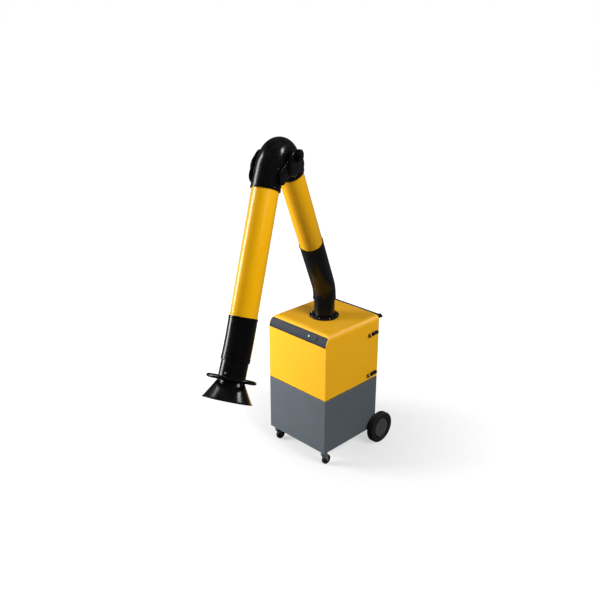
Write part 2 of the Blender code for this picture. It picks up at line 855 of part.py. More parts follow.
def build_rear_fittings():
    """The outlet grille and the mains inlet on the rear wall."""
    half_width = GRILLE_WIDTH / 2
    half_height = GRILLE_HEIGHT / 2
    bottom = GRILLE_CENTRE_Z - half_height
    loops = [rectangle_loop(-half_width, half_width, bottom, bottom + GRILLE_HEIGHT)]
    room = GRILLE_HEIGHT - 2 * GRILLE_BORDER
    pitch = room / GRILLE_SLOTS
    for slot in range(GRILLE_SLOTS):
        middle = GRILLE_CENTRE_Z - room / 2 + pitch * (slot + 0.5)
        loops.append(
            rectangle_loop(
                GRILLE_BORDER - half_width,
                half_width - GRILLE_BORDER,
                middle - GRILLE_SLOT_HEIGHT / 2,
                middle + GRILLE_SLOT_HEIGHT / 2,
            )
        )
    behind = HALF_DEPTH + TOUCH + GRILLE_THICKNESS / 2
    new_part("outlet_grille", outline_mesh(loops, GRILLE_THICKNESS, "XZ", -behind), "grey_paint")

    width, depth, height = INLET_BOX_SIZE
    front = HALF_DEPTH + TOUCH
    inlet = new_part(
        "mains_inlet",
        box_mesh(
            (INLET_BOX_X - width / 2, front, INLET_BOX_Z - height / 2),
            (INLET_BOX_X + width / 2, front + depth, INLET_BOX_Z + height / 2),
        ),
        "black_plastic",
    )
    width, recess, height = INLET_BOX_RECESS
    socket = box_mesh(
        (INLET_BOX_X - width / 2, front + depth - recess, INLET_BOX_Z - height / 2),
        (INLET_BOX_X + width / 2, front + depth + SHEET, INLET_BOX_Z + height / 2),
    )
    combine(inlet, new_cutter("inlet_socket", socket))


# Wheels and castors


def rounded_section(inner, outer, half, bend):
    """The section of a ring with rounded outer shoulders, centred on height 0."""
    top = arc((outer - bend, half - bend), bend, 90, 0, 2)
    bottom = arc((outer - bend, bend - half), bend, 0, -90, 2)
    return top + bottom + [(inner, -half), (inner, half)]


def build_rear_wheels():
    """The axle, its brackets and the two large wheels."""
    axle_y = HALF_DEPTH + AXLE_BEHIND
    axle_z = FLOOR_Z + flat_radius(WHEEL_RADIUS, WHEEL_SIDES)
    inner_face = HALF_WIDTH + WHEEL_SIDE_GAP
    wheel_x = inner_face + TYRE_WIDTH / 2
    axle_end = inner_face + TYRE_WIDTH - HUB_DISH
    new_part(
        "wheel_axle",
        cylinder_mesh(AXLE_RADIUS, -axle_end, axle_end, axis="X"),
        "zinc_steel",
        location=(0, axle_y, axle_z),
    )
    for side, name in ((-1, "left"), (1, "right")):
        top = -TOUCH
        reach = axle_y - AXLE_BRACKET_REACH
        loop = [(reach, top), (reach, axle_z - AXLE_BOSS_RADIUS)]
        loop += arc((axle_y, axle_z), AXLE_BOSS_RADIUS, -90, 90, 10)
        loop += [(HALF_DEPTH + TOUCH, axle_z + AXLE_BOSS_RADIUS), (HALF_DEPTH + TOUCH, top)]
        hole = circle_loop((axle_y, axle_z), AXLE_RADIUS + TOUCH)
        new_part(
            "axle_bracket_" + name,
            outline_mesh([loop, hole], AXLE_BRACKET_THICKNESS, "YZ", side * AXLE_BRACKET_X),
            "grey_paint",
        )
        hub_axis = new_empty(
            "rear_wheel_axis_" + name,
            location=(side * wheel_x, axle_y, axle_z),
            rotation=(math.pi / WHEEL_SIDES, side * math.pi / 2, 0),
            order="ZYX",
        )
        half = TYRE_WIDTH / 2
        turned_part(
            "rear_tyre_" + name,
            rounded_section(RIM_RADIUS, WHEEL_RADIUS, half, TYRE_ROUND),
            "black_rubber",
            sides=WHEEL_SIDES,
            parent=hub_axis,
        )
        dish = half - HUB_DISH
        web = dish - HUB_WALL
        rim = RIM_RADIUS - TOUCH
        bore = clear_bore(AXLE_RADIUS, PIN_PLAY, WHEEL_SIDES)
        section = [
            (rim, half - TOUCH),
            (rim, -half),
            (rim - HUB_WALL, -half),
            (rim - HUB_WALL, web),
            (HUB_BOSS_RADIUS, web),
            (HUB_BOSS_RADIUS, -half - WHEEL_SIDE_GAP / 2),
            (bore, -half - WHEEL_SIDE_GAP / 2),
            (bore, dish),
            (rim - HUB_WALL, dish),
            (rim - HUB_WALL / 2, half - TOUCH),
        ]
        turned_part("rear_hub_" + name, section, "hub_plastic", sides=WHEEL_SIDES, parent=hub_axis)


def build_castors():
    """The two swivel castors under the front corners."""
    wheel_z = FLOOR_Z + flat_radius(CASTOR_WHEEL_RADIUS, CASTOR_SIDES)
    plate_top = -TOUCH
    plate_bottom = plate_top - CASTOR_PLATE_THICKNESS
    head_bottom = plate_bottom - CASTOR_HEAD_HEIGHT
    crown_top = head_bottom - TOUCH
    half = CASTOR_PLATE / 2
    leg_inner = CASTOR_WHEEL_WIDTH / 2 + FORK_GAP
    leg_outer = leg_inner + FORK_SHEET
    for side, name in ((-1, "left"), (1, "right")):
        swivel = new_empty(
            "castor_swivel_axis_" + name,
            location=(side * (HALF_WIDTH - CASTOR_INSET), CASTOR_INSET - HALF_DEPTH, 0),
            rotation=(0, 0, math.pi / 2),
        )
        plate = new_part(
            "castor_plate_" + name,
            box_mesh((-half, -half, plate_bottom), (half, half, plate_top)),
            "zinc_steel",
            parent=swivel,
        )
        head = cylinder_mesh(CASTOR_HEAD_RADIUS, head_bottom, plate_top - CASTOR_PLATE_THICKNESS / 2)
        combine(plate, new_cutter("castor_head_" + name, head, parent=swivel), "UNION")

        fork = new_part(
            "castor_fork_" + name,
            cylinder_mesh(CASTOR_HEAD_RADIUS, crown_top - CASTOR_CROWN, crown_top),
            "grey_paint",
            parent=swivel,
        )
        leg_top = crown_top - CASTOR_CROWN / 2
        leg = [(FORK_TOP_HALF, leg_top), (-FORK_TOP_HALF, leg_top)]
        leg += arc((CASTOR_TRAIL, wheel_z), FORK_EYE_RADIUS, 190, 350, 6)
        for end in (-1, 1):
            middle = end * (leg_inner + leg_outer) / 2
            mesh = outline_mesh([leg], FORK_SHEET, "XZ", middle)
            combine(fork, new_cutter("castor_leg_%s_%d" % (name, end), mesh, parent=swivel), "UNION")

        roll = new_empty(
            "castor_roll_axis_" + name,
            location=(CASTOR_TRAIL, 0, wheel_z),
            rotation=(-math.pi / 2, math.pi / CASTOR_SIDES, 0),
            parent=swivel,
        )
        pin = cylinder_mesh(CASTOR_PIN_RADIUS, -leg_outer - TOUCH, leg_outer + TOUCH)
        combine(fork, new_cutter("castor_pin_" + name, pin, parent=roll), "UNION")
        turned_part(
            "castor_wheel_" + name,
            rounded_section(
                clear_bore(CASTOR_PIN_RADIUS, PIN_PLAY, CASTOR_SIDES),
                CASTOR_WHEEL_RADIUS,
                CASTOR_WHEEL_WIDTH / 2,
                CASTOR_WHEEL_ROUND,
            ),
            "black_rubber",
            sides=CASTOR_SIDES,
            parent=roll,
        )


# Draw latches


def bail_path(half, reach):
    """The wire's centre line: in from one side, round the keeper and back."""
    bend = BAIL_BEND_RADIUS
    inner = LATCH_LEVER_HALF + TOUCH
    corner = arc((bend - reach, half - bend), bend, 180, 90, 4)
    points = [(0, 0, inner), (0, 0, half)]
    points += [(0, along, up) for along, up in reversed(corner)]
    points += [(0, along, -up) for along, up in corner]
    points += [(0, 0, -half), (0, 0, -inner)]
    return points


def build_latches():
    """The two draw latches across the cover's seam."""
    wall = HALF_WIDTH
    pivot_y = COVER_FRONT + LATCH_PIVOT_BEHIND
    ear_inner = LATCH_LEVER_HALF + TOUCH
    ear_outer = ear_inner + LATCH_EAR_SHEET
    bail_half = ear_outer + BAIL_SIDE_GAP + BAIL_WIRE_RADIUS
    keeper_back = COVER_FRONT - KEEPER_AHEAD
    keeper_front = keeper_back - KEEPER_LENGTH
    for name, height in LATCH_HEIGHTS.items():
        axis = new_empty("latch_axis_" + name, location=(wall + LATCH_PIVOT_PROUD, pivot_y, height))
        inside = -LATCH_PIVOT_PROUD + TOUCH
        plate_face = inside + LATCH_PLATE
        base = new_part(
            "latch_base_" + name,
            box_mesh(
                (inside, -LATCH_EAR_RADIUS, -LATCH_PLATE_HEIGHT / 2),
                (plate_face, LATCH_PLATE_LENGTH, LATCH_PLATE_HEIGHT / 2),
            ),
            "zinc_steel",
            parent=axis,
        )
        for side in (-1, 1):
            middle = side * (ear_inner + ear_outer) / 2
            ear = link_loop((inside + LATCH_EAR_RADIUS, 0), LATCH_EAR_RADIUS, (0, 0), LATCH_EAR_RADIUS)
            mesh = outline_mesh([ear], LATCH_EAR_SHEET, "XY", middle)
            combine(base, new_cutter("latch_ear_%s_%d" % (name, side), mesh, parent=axis), "UNION")
        pin_room = cylinder_mesh(LATCH_PIN_RADIUS + TOUCH, -LATCH_PLATE_HEIGHT, LATCH_PLATE_HEIGHT)
        combine(base, new_cutter("latch_pin_room_" + name, pin_room, parent=axis))

        half_depth = LATCH_LEVER_DEPTH / 2
        lever = new_part(
            "latch_lever_" + name,
            box_mesh(
                (-half_depth, -LATCH_LEVER_NOSE, -LATCH_LEVER_HALF),
                (half_depth, LATCH_LEVER_LENGTH, LATCH_LEVER_HALF),
            ),
            "black_plastic",
            parent=axis,
        )
        pin = cylinder_mesh(LATCH_PIN_RADIUS, -ear_outer, ear_outer)
        combine(lever, new_cutter("latch_pin_" + name, pin, parent=axis), "UNION")

        bail_axis = new_empty("bail_axis_" + name, location=(0, BAIL_PIVOT_BEHIND, 0), parent=axis)
        reach = pivot_y + BAIL_PIVOT_BEHIND - keeper_front + BAIL_END_GAP + BAIL_WIRE_RADIUS
        new_part(
            "latch_bail_" + name,
            path_mesh(bail_path(bail_half, reach), BAIL_WIRE_RADIUS, WIRE_SIDES, True),
            "zinc_steel",
            parent=bail_axis,
        )
        new_part(
            "latch_keeper_" + name,
            box_mesh((TOUCH, 0, -KEEPER_HALF), (KEEPER_PROUD, KEEPER_LENGTH, KEEPER_HALF)),
            "zinc_steel",
            location=(wall, keeper_front, height),
        )


# Arm


def build_arm_foot(turn):
    """The fixed flange, the swivel collar and the shoulder's fixed half."""
    section = [
        (FLANGE_RADIUS - FLANGE_CHAMFER, FLANGE_THICKNESS),
        (FLANGE_RADIUS, FLANGE_THICKNESS - FLANGE_CHAMFER),
        (FLANGE_RADIUS, TOUCH),
        (SPIGOT_RADIUS, TOUCH),
        (SPIGOT_RADIUS, -SPIGOT_DEPTH),
        (FLANGE_BORE, -SPIGOT_DEPTH),
        (FLANGE_BORE, FLANGE_THICKNESS),
    ]
    turned_part("arm_flange", section, "black_plastic", location=(0, 0, CABINET_HEIGHT))

    thrust = FLANGE_THICKNESS + TOUCH
    shoulder = COLLAR_RADIUS + COLLAR_SHOULDER
    lip = COLLAR_RADIUS + COLLAR_LIP
    lip_top = -SPIGOT_DEPTH - TOUCH
    section = [
        (TUBE_RADIUS, COLLAR_TOP_HEIGHT),
        (TUBE_RADIUS, COLLAR_STEP_HEIGHT),
        (COLLAR_RADIUS, COLLAR_STEP_HEIGHT),
        (COLLAR_RADIUS, thrust + COLLAR_SHOULDER_HEIGHT),
        (shoulder, thrust + COLLAR_SHOULDER_HEIGHT),
        (shoulder, thrust),
        (COLLAR_RADIUS, thrust),
        (COLLAR_RADIUS, lip_top),
        (lip, lip_top),
        (lip, lip_top - COLLAR_LIP_HEIGHT),
        (COLLAR_BORE, lip_top - COLLAR_LIP_HEIGHT),
        (COLLAR_BORE, COLLAR_TOP_HEIGHT),
    ]
    turned_part("swivel_collar", section, "black_plastic", parent=turn)

    pivot = (0, SHOULDER_HEIGHT)
    foot = (0, CHEEK_FOOT)
    half_length = strip_half_length(COLLAR_BORE, STRIP_HALF)
    bracket = new_part(
        "shoulder_bracket",
        box_mesh(
            (-half_length, -STRIP_HALF, CHEEK_FOOT - STRIP_HEIGHT / 2),
            (half_length, STRIP_HALF, CHEEK_FOOT + STRIP_HEIGHT / 2),
        ),
        "zinc_steel",
        parent=turn,
    )
    for side in (-1, 1):
        cheek = link_loop(foot, CHEEK_RADIUS, pivot, CHEEK_RADIUS)
        mesh = outline_mesh([cheek], CHEEK_SHEET, "YZ", side * (CHEEK_INNER + CHEEK_SHEET / 2))
        combine(bracket, new_cutter("shoulder_cheek_%d" % side, mesh, parent=turn), "UNION")

    pin_half = CHEEK_INNER + CHEEK_SHEET + SHOULDER_PIN_END
    pin = cylinder_mesh(SHOULDER_PIN_RADIUS, -pin_half, pin_half, axis="X", centre=(0, 0, SHOULDER_HEIGHT))
    combine(bracket, new_cutter("shoulder_pin", pin, parent=turn), "UNION")


def shoulder_hose_path():
    """The hose's centre line in the turned frame, from the collar up the lower tube."""
    tilt = math.radians(LOWER_TILT)
    bend = SHOULDER_BEND_LENGTH / math.tan(tilt / 2)
    start = SHOULDER_HEIGHT - SHOULDER_BEND_LENGTH
    points = [(0, 0, COLLAR_STEP_HEIGHT)]
    for step in range(HOSE_STEPS + 1):
        angle = tilt * step / HOSE_STEPS
        points.append((0, bend * (math.cos(angle) - 1), start + bend * math.sin(angle)))
    end = LOWER_TUBE_START + HOSE_OVERLAP
    points.append((0, -end * math.sin(tilt), SHOULDER_HEIGHT + end * math.cos(tilt)))
    return points


def elbow_hose_path():
    """The hose's centre line in the lower arm's frame, over the elbow to the front tube."""
    sweep = math.radians(180 - ELBOW_INCLUDED)
    half_included = math.radians(ELBOW_INCLUDED) / 2
    meeting = ELBOW_REACH + ELBOW_OFFSET / math.tan(half_included)
    tangent = meeting - ELBOW_BEND_RADIUS / math.tan(half_included)
    points = [(0, 0, ELBOW_REACH - ELBOW_TUBE_END + TOUCH)]
    for step in range(2 * HOSE_STEPS + 1):
        angle = sweep * step / (2 * HOSE_STEPS)
        along = tangent + ELBOW_BEND_RADIUS * math.sin(angle)
        points.append((0, ELBOW_BEND_RADIUS * (math.cos(angle) - 1), along))
    heading = Vector((0, -math.sin(sweep), math.cos(sweep)))
    rest = tangent - (ELBOW_REACH - ELBOW_TUBE_END + TOUCH)
    points.append(tuple(Vector(points[-1]) + heading * rest))
    return points


def wrist_hose_path():
    """The hose's centre line in the front tube's frame, from the tube down to the cuff."""
    tilt = math.radians(WRIST_TILT)
    bend = WRIST_BEND_LENGTH / math.tan(tilt / 2)
    start = WRIST_BEND_LENGTH - WRIST_PIVOT
    points = [(0, 0, -WRIST_HOSE_START)]
    for step in range(HOSE_STEPS + 1):
        angle = tilt * step / HOSE_STEPS
        points.append((0, bend * (1 - math.cos(angle)), start - bend * math.sin(angle)))
    end = WRIST_HOSE_END - WRIST_PIVOT
    points.append((0, end * math.sin(tilt), -WRIST_PIVOT - end * math.cos(tilt)))
    return points


def elbow_collar_section(end):
    """The section of an elbow collar, with a seat for the tube and one for the hose."""
    outer = HOSE_SEAT + ELBOW_COLLAR_WALL
    low = -end
    step = -ELBOW_TUBE_END
    high = -ELBOW_COLLAR_TOP
    return [
        (outer, high),
        (outer, low),
        (TUBE_RADIUS + TOUCH, low),
        (TUBE_RADIUS + TOUCH, step),
        (HOSE_SEAT, step),
        (HOSE_SEAT, high),
    ]


def add_ears(collar, name, parent, foot_inner, eye_inner, offset):
    """Join two ears to an elbow collar, with an eye on the elbow's axis."""
    foot = (-offset, -EAR_FOOT)
    loops = [
        link_loop(foot, EAR_FOOT_RADIUS, (0, 0), EAR_EYE_RADIUS),
        circle_loop((0, 0), ELBOW_BOLT_RADIUS + PIN_PLAY),
    ]
    for side in (-1, 1):
        plate = outline_mesh(loops, EAR_SHEET, "YZ", side * (eye_inner + EAR_SHEET / 2))
        combine(collar, new_cutter("%s_ear_%d" % (name, side), plate, parent=parent), "UNION")
        if foot_inner < eye_inner:
            depth = eye_inner + EAR_SHEET / 2 - foot_inner
            root = circle_loop(foot, EAR_FOOT_RADIUS - SEAM)
            block = outline_mesh([root], depth, "YZ", side * (foot_inner + depth / 2))
            combine(collar, new_cutter("%s_root_%d" % (name, side), block, parent=parent), "UNION")


def build_lower_arm(turn, shoulder):
    """The lower tube with its tongue, collar and hoses."""
    hose_part("shoulder_hose", shoulder_hose_path(), "black_hose", parent=turn)

    strip_low = LOWER_TUBE_START + HOSE_OVERLAP
    strip_high = strip_low + STRIP_HEIGHT
    hole = circle_loop((0, 0), SHOULDER_PIN_RADIUS + PIN_PLAY)
    bar = [link_loop((0, 0), TONGUE_RADIUS, (0, strip_low), STRIP_HALF), hole]
    tongue = new_part("arm_tongue", outline_mesh(bar, 2 * TONGUE_HALF, "YZ"), "zinc_steel", parent=shoulder)
    half_length = strip_half_length(TUBE_BORE, STRIP_HALF)
    strip = box_mesh((-half_length, -STRIP_HALF, strip_low), (half_length, STRIP_HALF, strip_high))
    combine(tongue, new_cutter("tongue_strip", strip, parent=shoulder), "UNION")

    tube_top = ELBOW_REACH - ELBOW_TUBE_END
    turned_part(
        "lower_tube",
        tube_section(TUBE_BORE, TUBE_RADIUS, LOWER_TUBE_START, tube_top),
        "yellow_paint",
        parent=shoulder,
    )
    collar = turned_part(
        "lower_elbow_collar",
        elbow_collar_section(LOWER_COLLAR_END),
        "black_plastic",
        parent=shoulder,
        location=(0, 0, ELBOW_REACH),
    )
    lower_eye = new_empty("lower_eye_axis", location=(0, -ELBOW_OFFSET, ELBOW_REACH), parent=shoulder)
    add_ears(collar, "lower", lower_eye, EAR_INNER, EAR_INNER, -ELBOW_OFFSET)
    hose_part("elbow_hose", elbow_hose_path(), "black_hose", parent=shoulder)

    for side, name in ((-1, "left"), (1, "right")):
        disc = [circle_loop((0, 0), FRICTION_RADIUS), circle_loop((0, 0), ELBOW_BOLT_RADIUS + PIN_PLAY)]
        middle = side * (FRICTION_INNER + FRICTION_DISC / 2)
        new_part(
            "elbow_friction_disc_" + name,
            outline_mesh(disc, FRICTION_DISC, "YZ", middle),
            "friction_fibre",
            parent=lower_eye,
        )


def hub_mesh(radius, length, side):
    """A round hub with a rounded outer edge, standing on its inner face."""
    shape = bmesh.new()
    bmesh.ops.create_cone(
        shape, cap_ends=True, segments=LARGE_SIDES, radius1=radius, radius2=radius, depth=length
    )
    bmesh.ops.translate(shape, vec=(0, 0, length / 2), verts=shape.verts)
    rim = [edge for edge in shape.edges if all(vert.co.z > length / 2 for vert in edge.verts)]
    bmesh.ops.bevel(
        shape,
        geom=rim,
        offset=HUB_ROUND,
        segments=2,
        profile=0.5,
        affect="EDGES",
        clamp_overlap=True,
        material=-1,
    )
    bmesh.ops.transform(shape, matrix=Matrix.Rotation(side * math.pi / 2, 4, "Y"), verts=shape.verts)
    return mesh_from(shape, "hub")


def knob_loop():
    """The lobed outline of the clamp knob."""
    loop = []
    steps = KNOB_LOBES * 6
    for step in range(steps):
        angle = 2 * math.pi * step / steps
        radius = KNOB_RADIUS - KNOB_LOBE_DEPTH * (0.5 - 0.5 * math.cos(KNOB_LOBES * angle))
        loop.append((radius * math.cos(angle), radius * math.sin(angle)))
    return loop


def build_front_arm(elbow):
    """The upper elbow collar, its hubs and knob, the front tube and the wrist's fixed half."""
    collar = turned_part(
        "upper_elbow_collar",
        elbow_collar_section(UPPER_COLLAR_END),
        "black_plastic",
        parent=elbow,
        location=(0, -ELBOW_OFFSET, 0),
    )
    add_ears(collar, "upper", elbow, EAR_INNER, OUTER_EAR_INNER, ELBOW_OFFSET)
    hubs = (
        (-1, "left", LEFT_HUB_RADIUS, LEFT_HUB_LENGTH),
        (1, "right", RIGHT_HUB_RADIUS, RIGHT_HUB_LENGTH),
    )
    for side, name, radius, length in hubs:
        hub = new_part(
            "elbow_hub_" + name,
            hub_mesh(radius, length, side),
            "black_plastic",
            parent=elbow,
            location=(side * HUB_INNER, 0, 0),
        )
        ends = sorted((side * EAR_INNER, side * (HUB_INNER + STUD_SINK)))
        stud = cylinder_mesh(ELBOW_BOLT_RADIUS, ends[0], ends[1], axis="X")
        combine(hub, new_cutter("elbow_stud_" + name, stud, parent=elbow), "UNION")
    new_part(
        "elbow_knob",
        outline_mesh([knob_loop()], KNOB_LENGTH, "YZ", KNOB_INNER + KNOB_LENGTH / 2),
        "black_plastic",
        parent=elbow,
        location=(0, 0, KNOB_RISE),
    )
    front_axis = new_empty("front_tube_axis", location=(0, -ELBOW_OFFSET, 0), parent=elbow)
    turned_part(
        "front_tube",
        tube_section(TUBE_BORE, TUBE_RADIUS, -FRONT_TUBE_END, -ELBOW_TUBE_END),
        "yellow_paint",
        parent=front_axis,
    )
    hose_part("wrist_hose", wrist_hose_path(), "black_hose", parent=front_axis)
    strip_low = -WRIST_HOSE_START + TOUCH
    pivot = (0, -WRIST_PIVOT)
    hole = circle_loop(pivot, WRIST_PIN_RADIUS + PIN_PLAY)
    bar = [link_loop(pivot, WRIST_TONGUE_RADIUS, (0, strip_low), STRIP_HALF), hole]
    bracket = new_part(
        "wrist_bracket", outline_mesh(bar, 2 * WRIST_TONGUE_HALF, "YZ"), "zinc_steel", parent=front_axis
    )
    half_length = strip_half_length(TUBE_BORE, STRIP_HALF)
    strip = box_mesh(
        (-half_length, -STRIP_HALF, strip_low),
        (half_length, STRIP_HALF, strip_low + STRIP_HEIGHT),
    )
    combine(bracket, new_cutter("wrist_strip", strip, parent=front_axis), "UNION")
    return front_axis


def build_wrist(wrist):
    """The cuff at the end of the wrist hose and the yoke that carries it."""
    lip = HOSE_RADIUS + CUFF_LIP - HOSE_WALL
    heights = [WRIST_PIVOT - station for station in (CUFF_START, WRIST_HOSE_END, CUFF_LIP_START, CUFF_END)]
    start, seat_end, lip_start, end = heights
    section = [
        (TUBE_RADIUS, start),
        (TUBE_RADIUS, lip_start),
        (lip, lip_start),
        (lip, end),
        (CUFF_BORE, end),
        (CUFF_BORE, start),
    ]
    turned_part("hood_cuff", section, "black_plastic", parent=wrist)

    strip_high = start - TOUCH
    strip_low = strip_high - STRIP_HEIGHT
    half_length = strip_half_length(CUFF_BORE, STRIP_HALF)
    yoke = new_part(
        "hood_yoke",
        box_mesh((-half_length, -STRIP_HALF, strip_low), (half_length, STRIP_HALF, strip_high)),
        "zinc_steel",
        parent=wrist,
    )
    cheek = link_loop((0, 0), WRIST_TONGUE_RADIUS, (0, strip_high - STRIP_HALF), STRIP_HALF - SEAM)
    inner = WRIST_TONGUE_HALF + RUNNING
    for side in (-1, 1):
        mesh = outline_mesh([cheek], WRIST_CHEEK_SHEET, "YZ", side * (inner + WRIST_CHEEK_SHEET / 2))
        combine(yoke, new_cutter("yoke_cheek_%d" % side, mesh, parent=wrist), "UNION")
    pin_half = inner + WRIST_CHEEK_SHEET + TOUCH
    pin = cylinder_mesh(WRIST_PIN_RADIUS, -pin_half, pin_half, axis="X")
    combine(yoke, new_cutter("wrist_pin", pin, parent=wrist), "UNION")


def build_hood(wrist):
    """The hood: neck, ring handle, cone and damper."""
    heights = [WRIST_PIVOT - station for station in (NECK_START, NECK_END, HOOD_START)]
    neck_top, neck_bottom, cone_top = heights
    spigot = flat_radius(CUFF_BORE) - RUNNING
    spigot_bore = spigot - NECK_WALL
    bore = NECK_RADIUS - NECK_WALL
    section = [
        (spigot, neck_top + NECK_SPIGOT),
        (spigot, neck_top),
        (NECK_RADIUS, neck_top),
        (NECK_RADIUS, neck_bottom),
        (bore, neck_bottom),
        (bore, neck_top - 2 * NECK_WALL),
        (spigot_bore, neck_top - NECK_WALL),
        (spigot_bore, neck_top + NECK_SPIGOT),
    ]
    neck = turned_part("hood_neck", section, "black_plastic", parent=wrist)
    damper_height = WRIST_PIVOT - DAMPER_STATION
    hole = cylinder_mesh(
        DAMPER_SHAFT_RADIUS + PIN_PLAY, -2 * NECK_RADIUS, 0, axis="Y", centre=(0, 0, damper_height)
    )
    combine(neck, new_cutter("damper_hole", hole, parent=wrist))

    cone_bottom = cone_top - HOOD_LENGTH
    lip_top = cone_bottom + HOOD_LIP_HEIGHT
    rim = HOOD_MOUTH_RADIUS - HOOD_LIP
    section = [
        (NECK_RADIUS, cone_top),
        (rim, lip_top),
        (HOOD_MOUTH_RADIUS, lip_top),
        (HOOD_MOUTH_RADIUS, cone_bottom),
        (rim - HOOD_WALL, cone_bottom),
        (rim - HOOD_WALL, lip_top - HOOD_WALL),
        (NECK_RADIUS - HOOD_WALL, cone_top - HOOD_WALL / 2),
        (NECK_RADIUS - HOOD_WALL, cone_top),
    ]
    turned_part("hood_cone", section, "black_plastic", parent=wrist)

    ring_height = WRIST_PIVOT - RING_STATION
    bar = circle_loop((RING_RADIUS, 0), RING_BAR_RADIUS, RING_BAR_SIDES)
    ring = turned_part(
        "ring_handle",
        list(reversed(bar)),
        "black_plastic",
        parent=wrist,
        location=(0, 0, ring_height),
    )
    sleeve_bore = NECK_RADIUS + TOUCH
    sleeve_radius = sleeve_bore + RING_SLEEVE_WALL
    sleeve = turned_cutter(
        "ring_sleeve",
        tube_section(sleeve_bore, sleeve_radius, -RING_SLEEVE_HALF, RING_SLEEVE_HALF),
        parent=wrist,
        location=(0, 0, ring_height),
    )
    for angle in RING_SPOKE_ANGLES:
        spoke = box_mesh(
            (sleeve_radius - SPOKE_SINK, -RING_SPOKE_HALF, -RING_SPOKE_DEPTH),
            (RING_RADIUS, RING_SPOKE_HALF, RING_SPOKE_DEPTH),
        )
        spoke.transform(Matrix.Rotation(math.radians(angle - 90), 4, "Z"))
        tool = new_cutter("ring_spoke_%d" % angle, spoke, parent=wrist, location=(0, 0, ring_height))
        combine(ring, tool, "UNION")
    combine(ring, sleeve, "UNION")

    damper_axis = new_empty("damper_axis", location=(0, 0, damper_height), parent=wrist)
    disc_radius = bore - DAMPER_GAP
    plate = new_part(
        "damper_plate",
        cylinder_mesh(disc_radius, -DAMPER_SHEET / 2, DAMPER_SHEET / 2, axis="X", sides=LARGE_SIDES),
        "zinc_steel",
        parent=damper_axis,
    )
    knob_start = -NECK_RADIUS - RUNNING
    shaft = cylinder_mesh(DAMPER_SHAFT_RADIUS, knob_start, flat_radius(bore) - TOUCH, axis="Y")
    combine(plate, new_cutter("damper_shaft", shaft, parent=damper_axis), "UNION")
    new_part(
        "damper_knob",
        cylinder_mesh(
            DAMPER_KNOB_RADIUS, knob_start - TOUCH - DAMPER_KNOB_LENGTH, knob_start - TOUCH, axis="Y"
        ),
        "zinc_steel",
        parent=damper_axis,
    )


def build_arm():
    """The whole arm, on empties that sit on its joint axes."""
    turn = new_empty(
        "arm_swivel_axis",
        location=(0, 0, CABINET_HEIGHT),
        rotation=(0, 0, math.radians(ARM_TURN)),
    )
    shoulder = new_empty(
        "shoulder_axis",
        location=(0, 0, SHOULDER_HEIGHT),
        rotation=(math.radians(LOWER_TILT), 0, 0),
        parent=turn,
    )
    elbow = new_empty(
        "elbow_axis",
        location=(0, -ELBOW_OFFSET, ELBOW_REACH),
        rotation=(-math.radians(ELBOW_INCLUDED), 0, 0),
        parent=shoulder,
    )
    build_arm_foot(turn)
    build_lower_arm(turn, shoulder)
    front_axis = build_front_arm(elbow)
    wrist = new_empty(
        "wrist_axis",
        location=(0, 0, -WRIST_PIVOT),
        rotation=(math.radians(WRIST_TILT), 0, 0),
        parent=front_axis,
    )
    build_wrist(wrist)
    build_hood(wrist)


def main():
    """Build every piece of the extractor."""
    build_casings()
    build_panel_fittings()
    build_push_handle()
    build_filter()
    build_fan()
    build_rear_fittings()
    build_rear_wheels()
    build_castors()
    build_latches()
    build_arm()


main()
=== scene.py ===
"""Looks of a mobile fume extractor: finishes, detailed pieces, light and camera."""

import math
from collections import namedtuple

import bmesh
import bpy
from bmesh.types import BMEdge, BMVert
from bpy.props import FloatProperty, FloatVectorProperty, IntProperty, PointerProperty
from mathutils import Matrix, Vector


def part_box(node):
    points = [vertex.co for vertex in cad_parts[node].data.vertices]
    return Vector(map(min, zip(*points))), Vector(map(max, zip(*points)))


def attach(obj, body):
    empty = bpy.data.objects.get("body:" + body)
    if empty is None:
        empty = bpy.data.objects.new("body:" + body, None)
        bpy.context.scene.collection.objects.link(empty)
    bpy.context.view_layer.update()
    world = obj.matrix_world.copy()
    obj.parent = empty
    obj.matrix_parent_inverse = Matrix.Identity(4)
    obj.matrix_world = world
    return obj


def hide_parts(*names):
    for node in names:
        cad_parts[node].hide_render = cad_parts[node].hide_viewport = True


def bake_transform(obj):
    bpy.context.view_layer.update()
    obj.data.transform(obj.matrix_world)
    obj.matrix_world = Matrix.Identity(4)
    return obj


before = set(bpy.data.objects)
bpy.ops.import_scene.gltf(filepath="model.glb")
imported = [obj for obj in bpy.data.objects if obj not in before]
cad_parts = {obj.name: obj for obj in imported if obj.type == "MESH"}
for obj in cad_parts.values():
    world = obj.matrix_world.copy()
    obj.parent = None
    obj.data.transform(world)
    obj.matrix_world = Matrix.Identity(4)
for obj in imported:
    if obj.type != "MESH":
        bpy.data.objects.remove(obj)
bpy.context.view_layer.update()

bl_info = {
    "name": "Mobile fume extractor",
    "version": (1, 0, 0),
    "blender": (4, 5, 0),
    "location": "View3D > Sidebar > Extractor",
    "description": "Dresses the packed fume extractor with detailed pieces and finishes",
    "category": "Object",
}

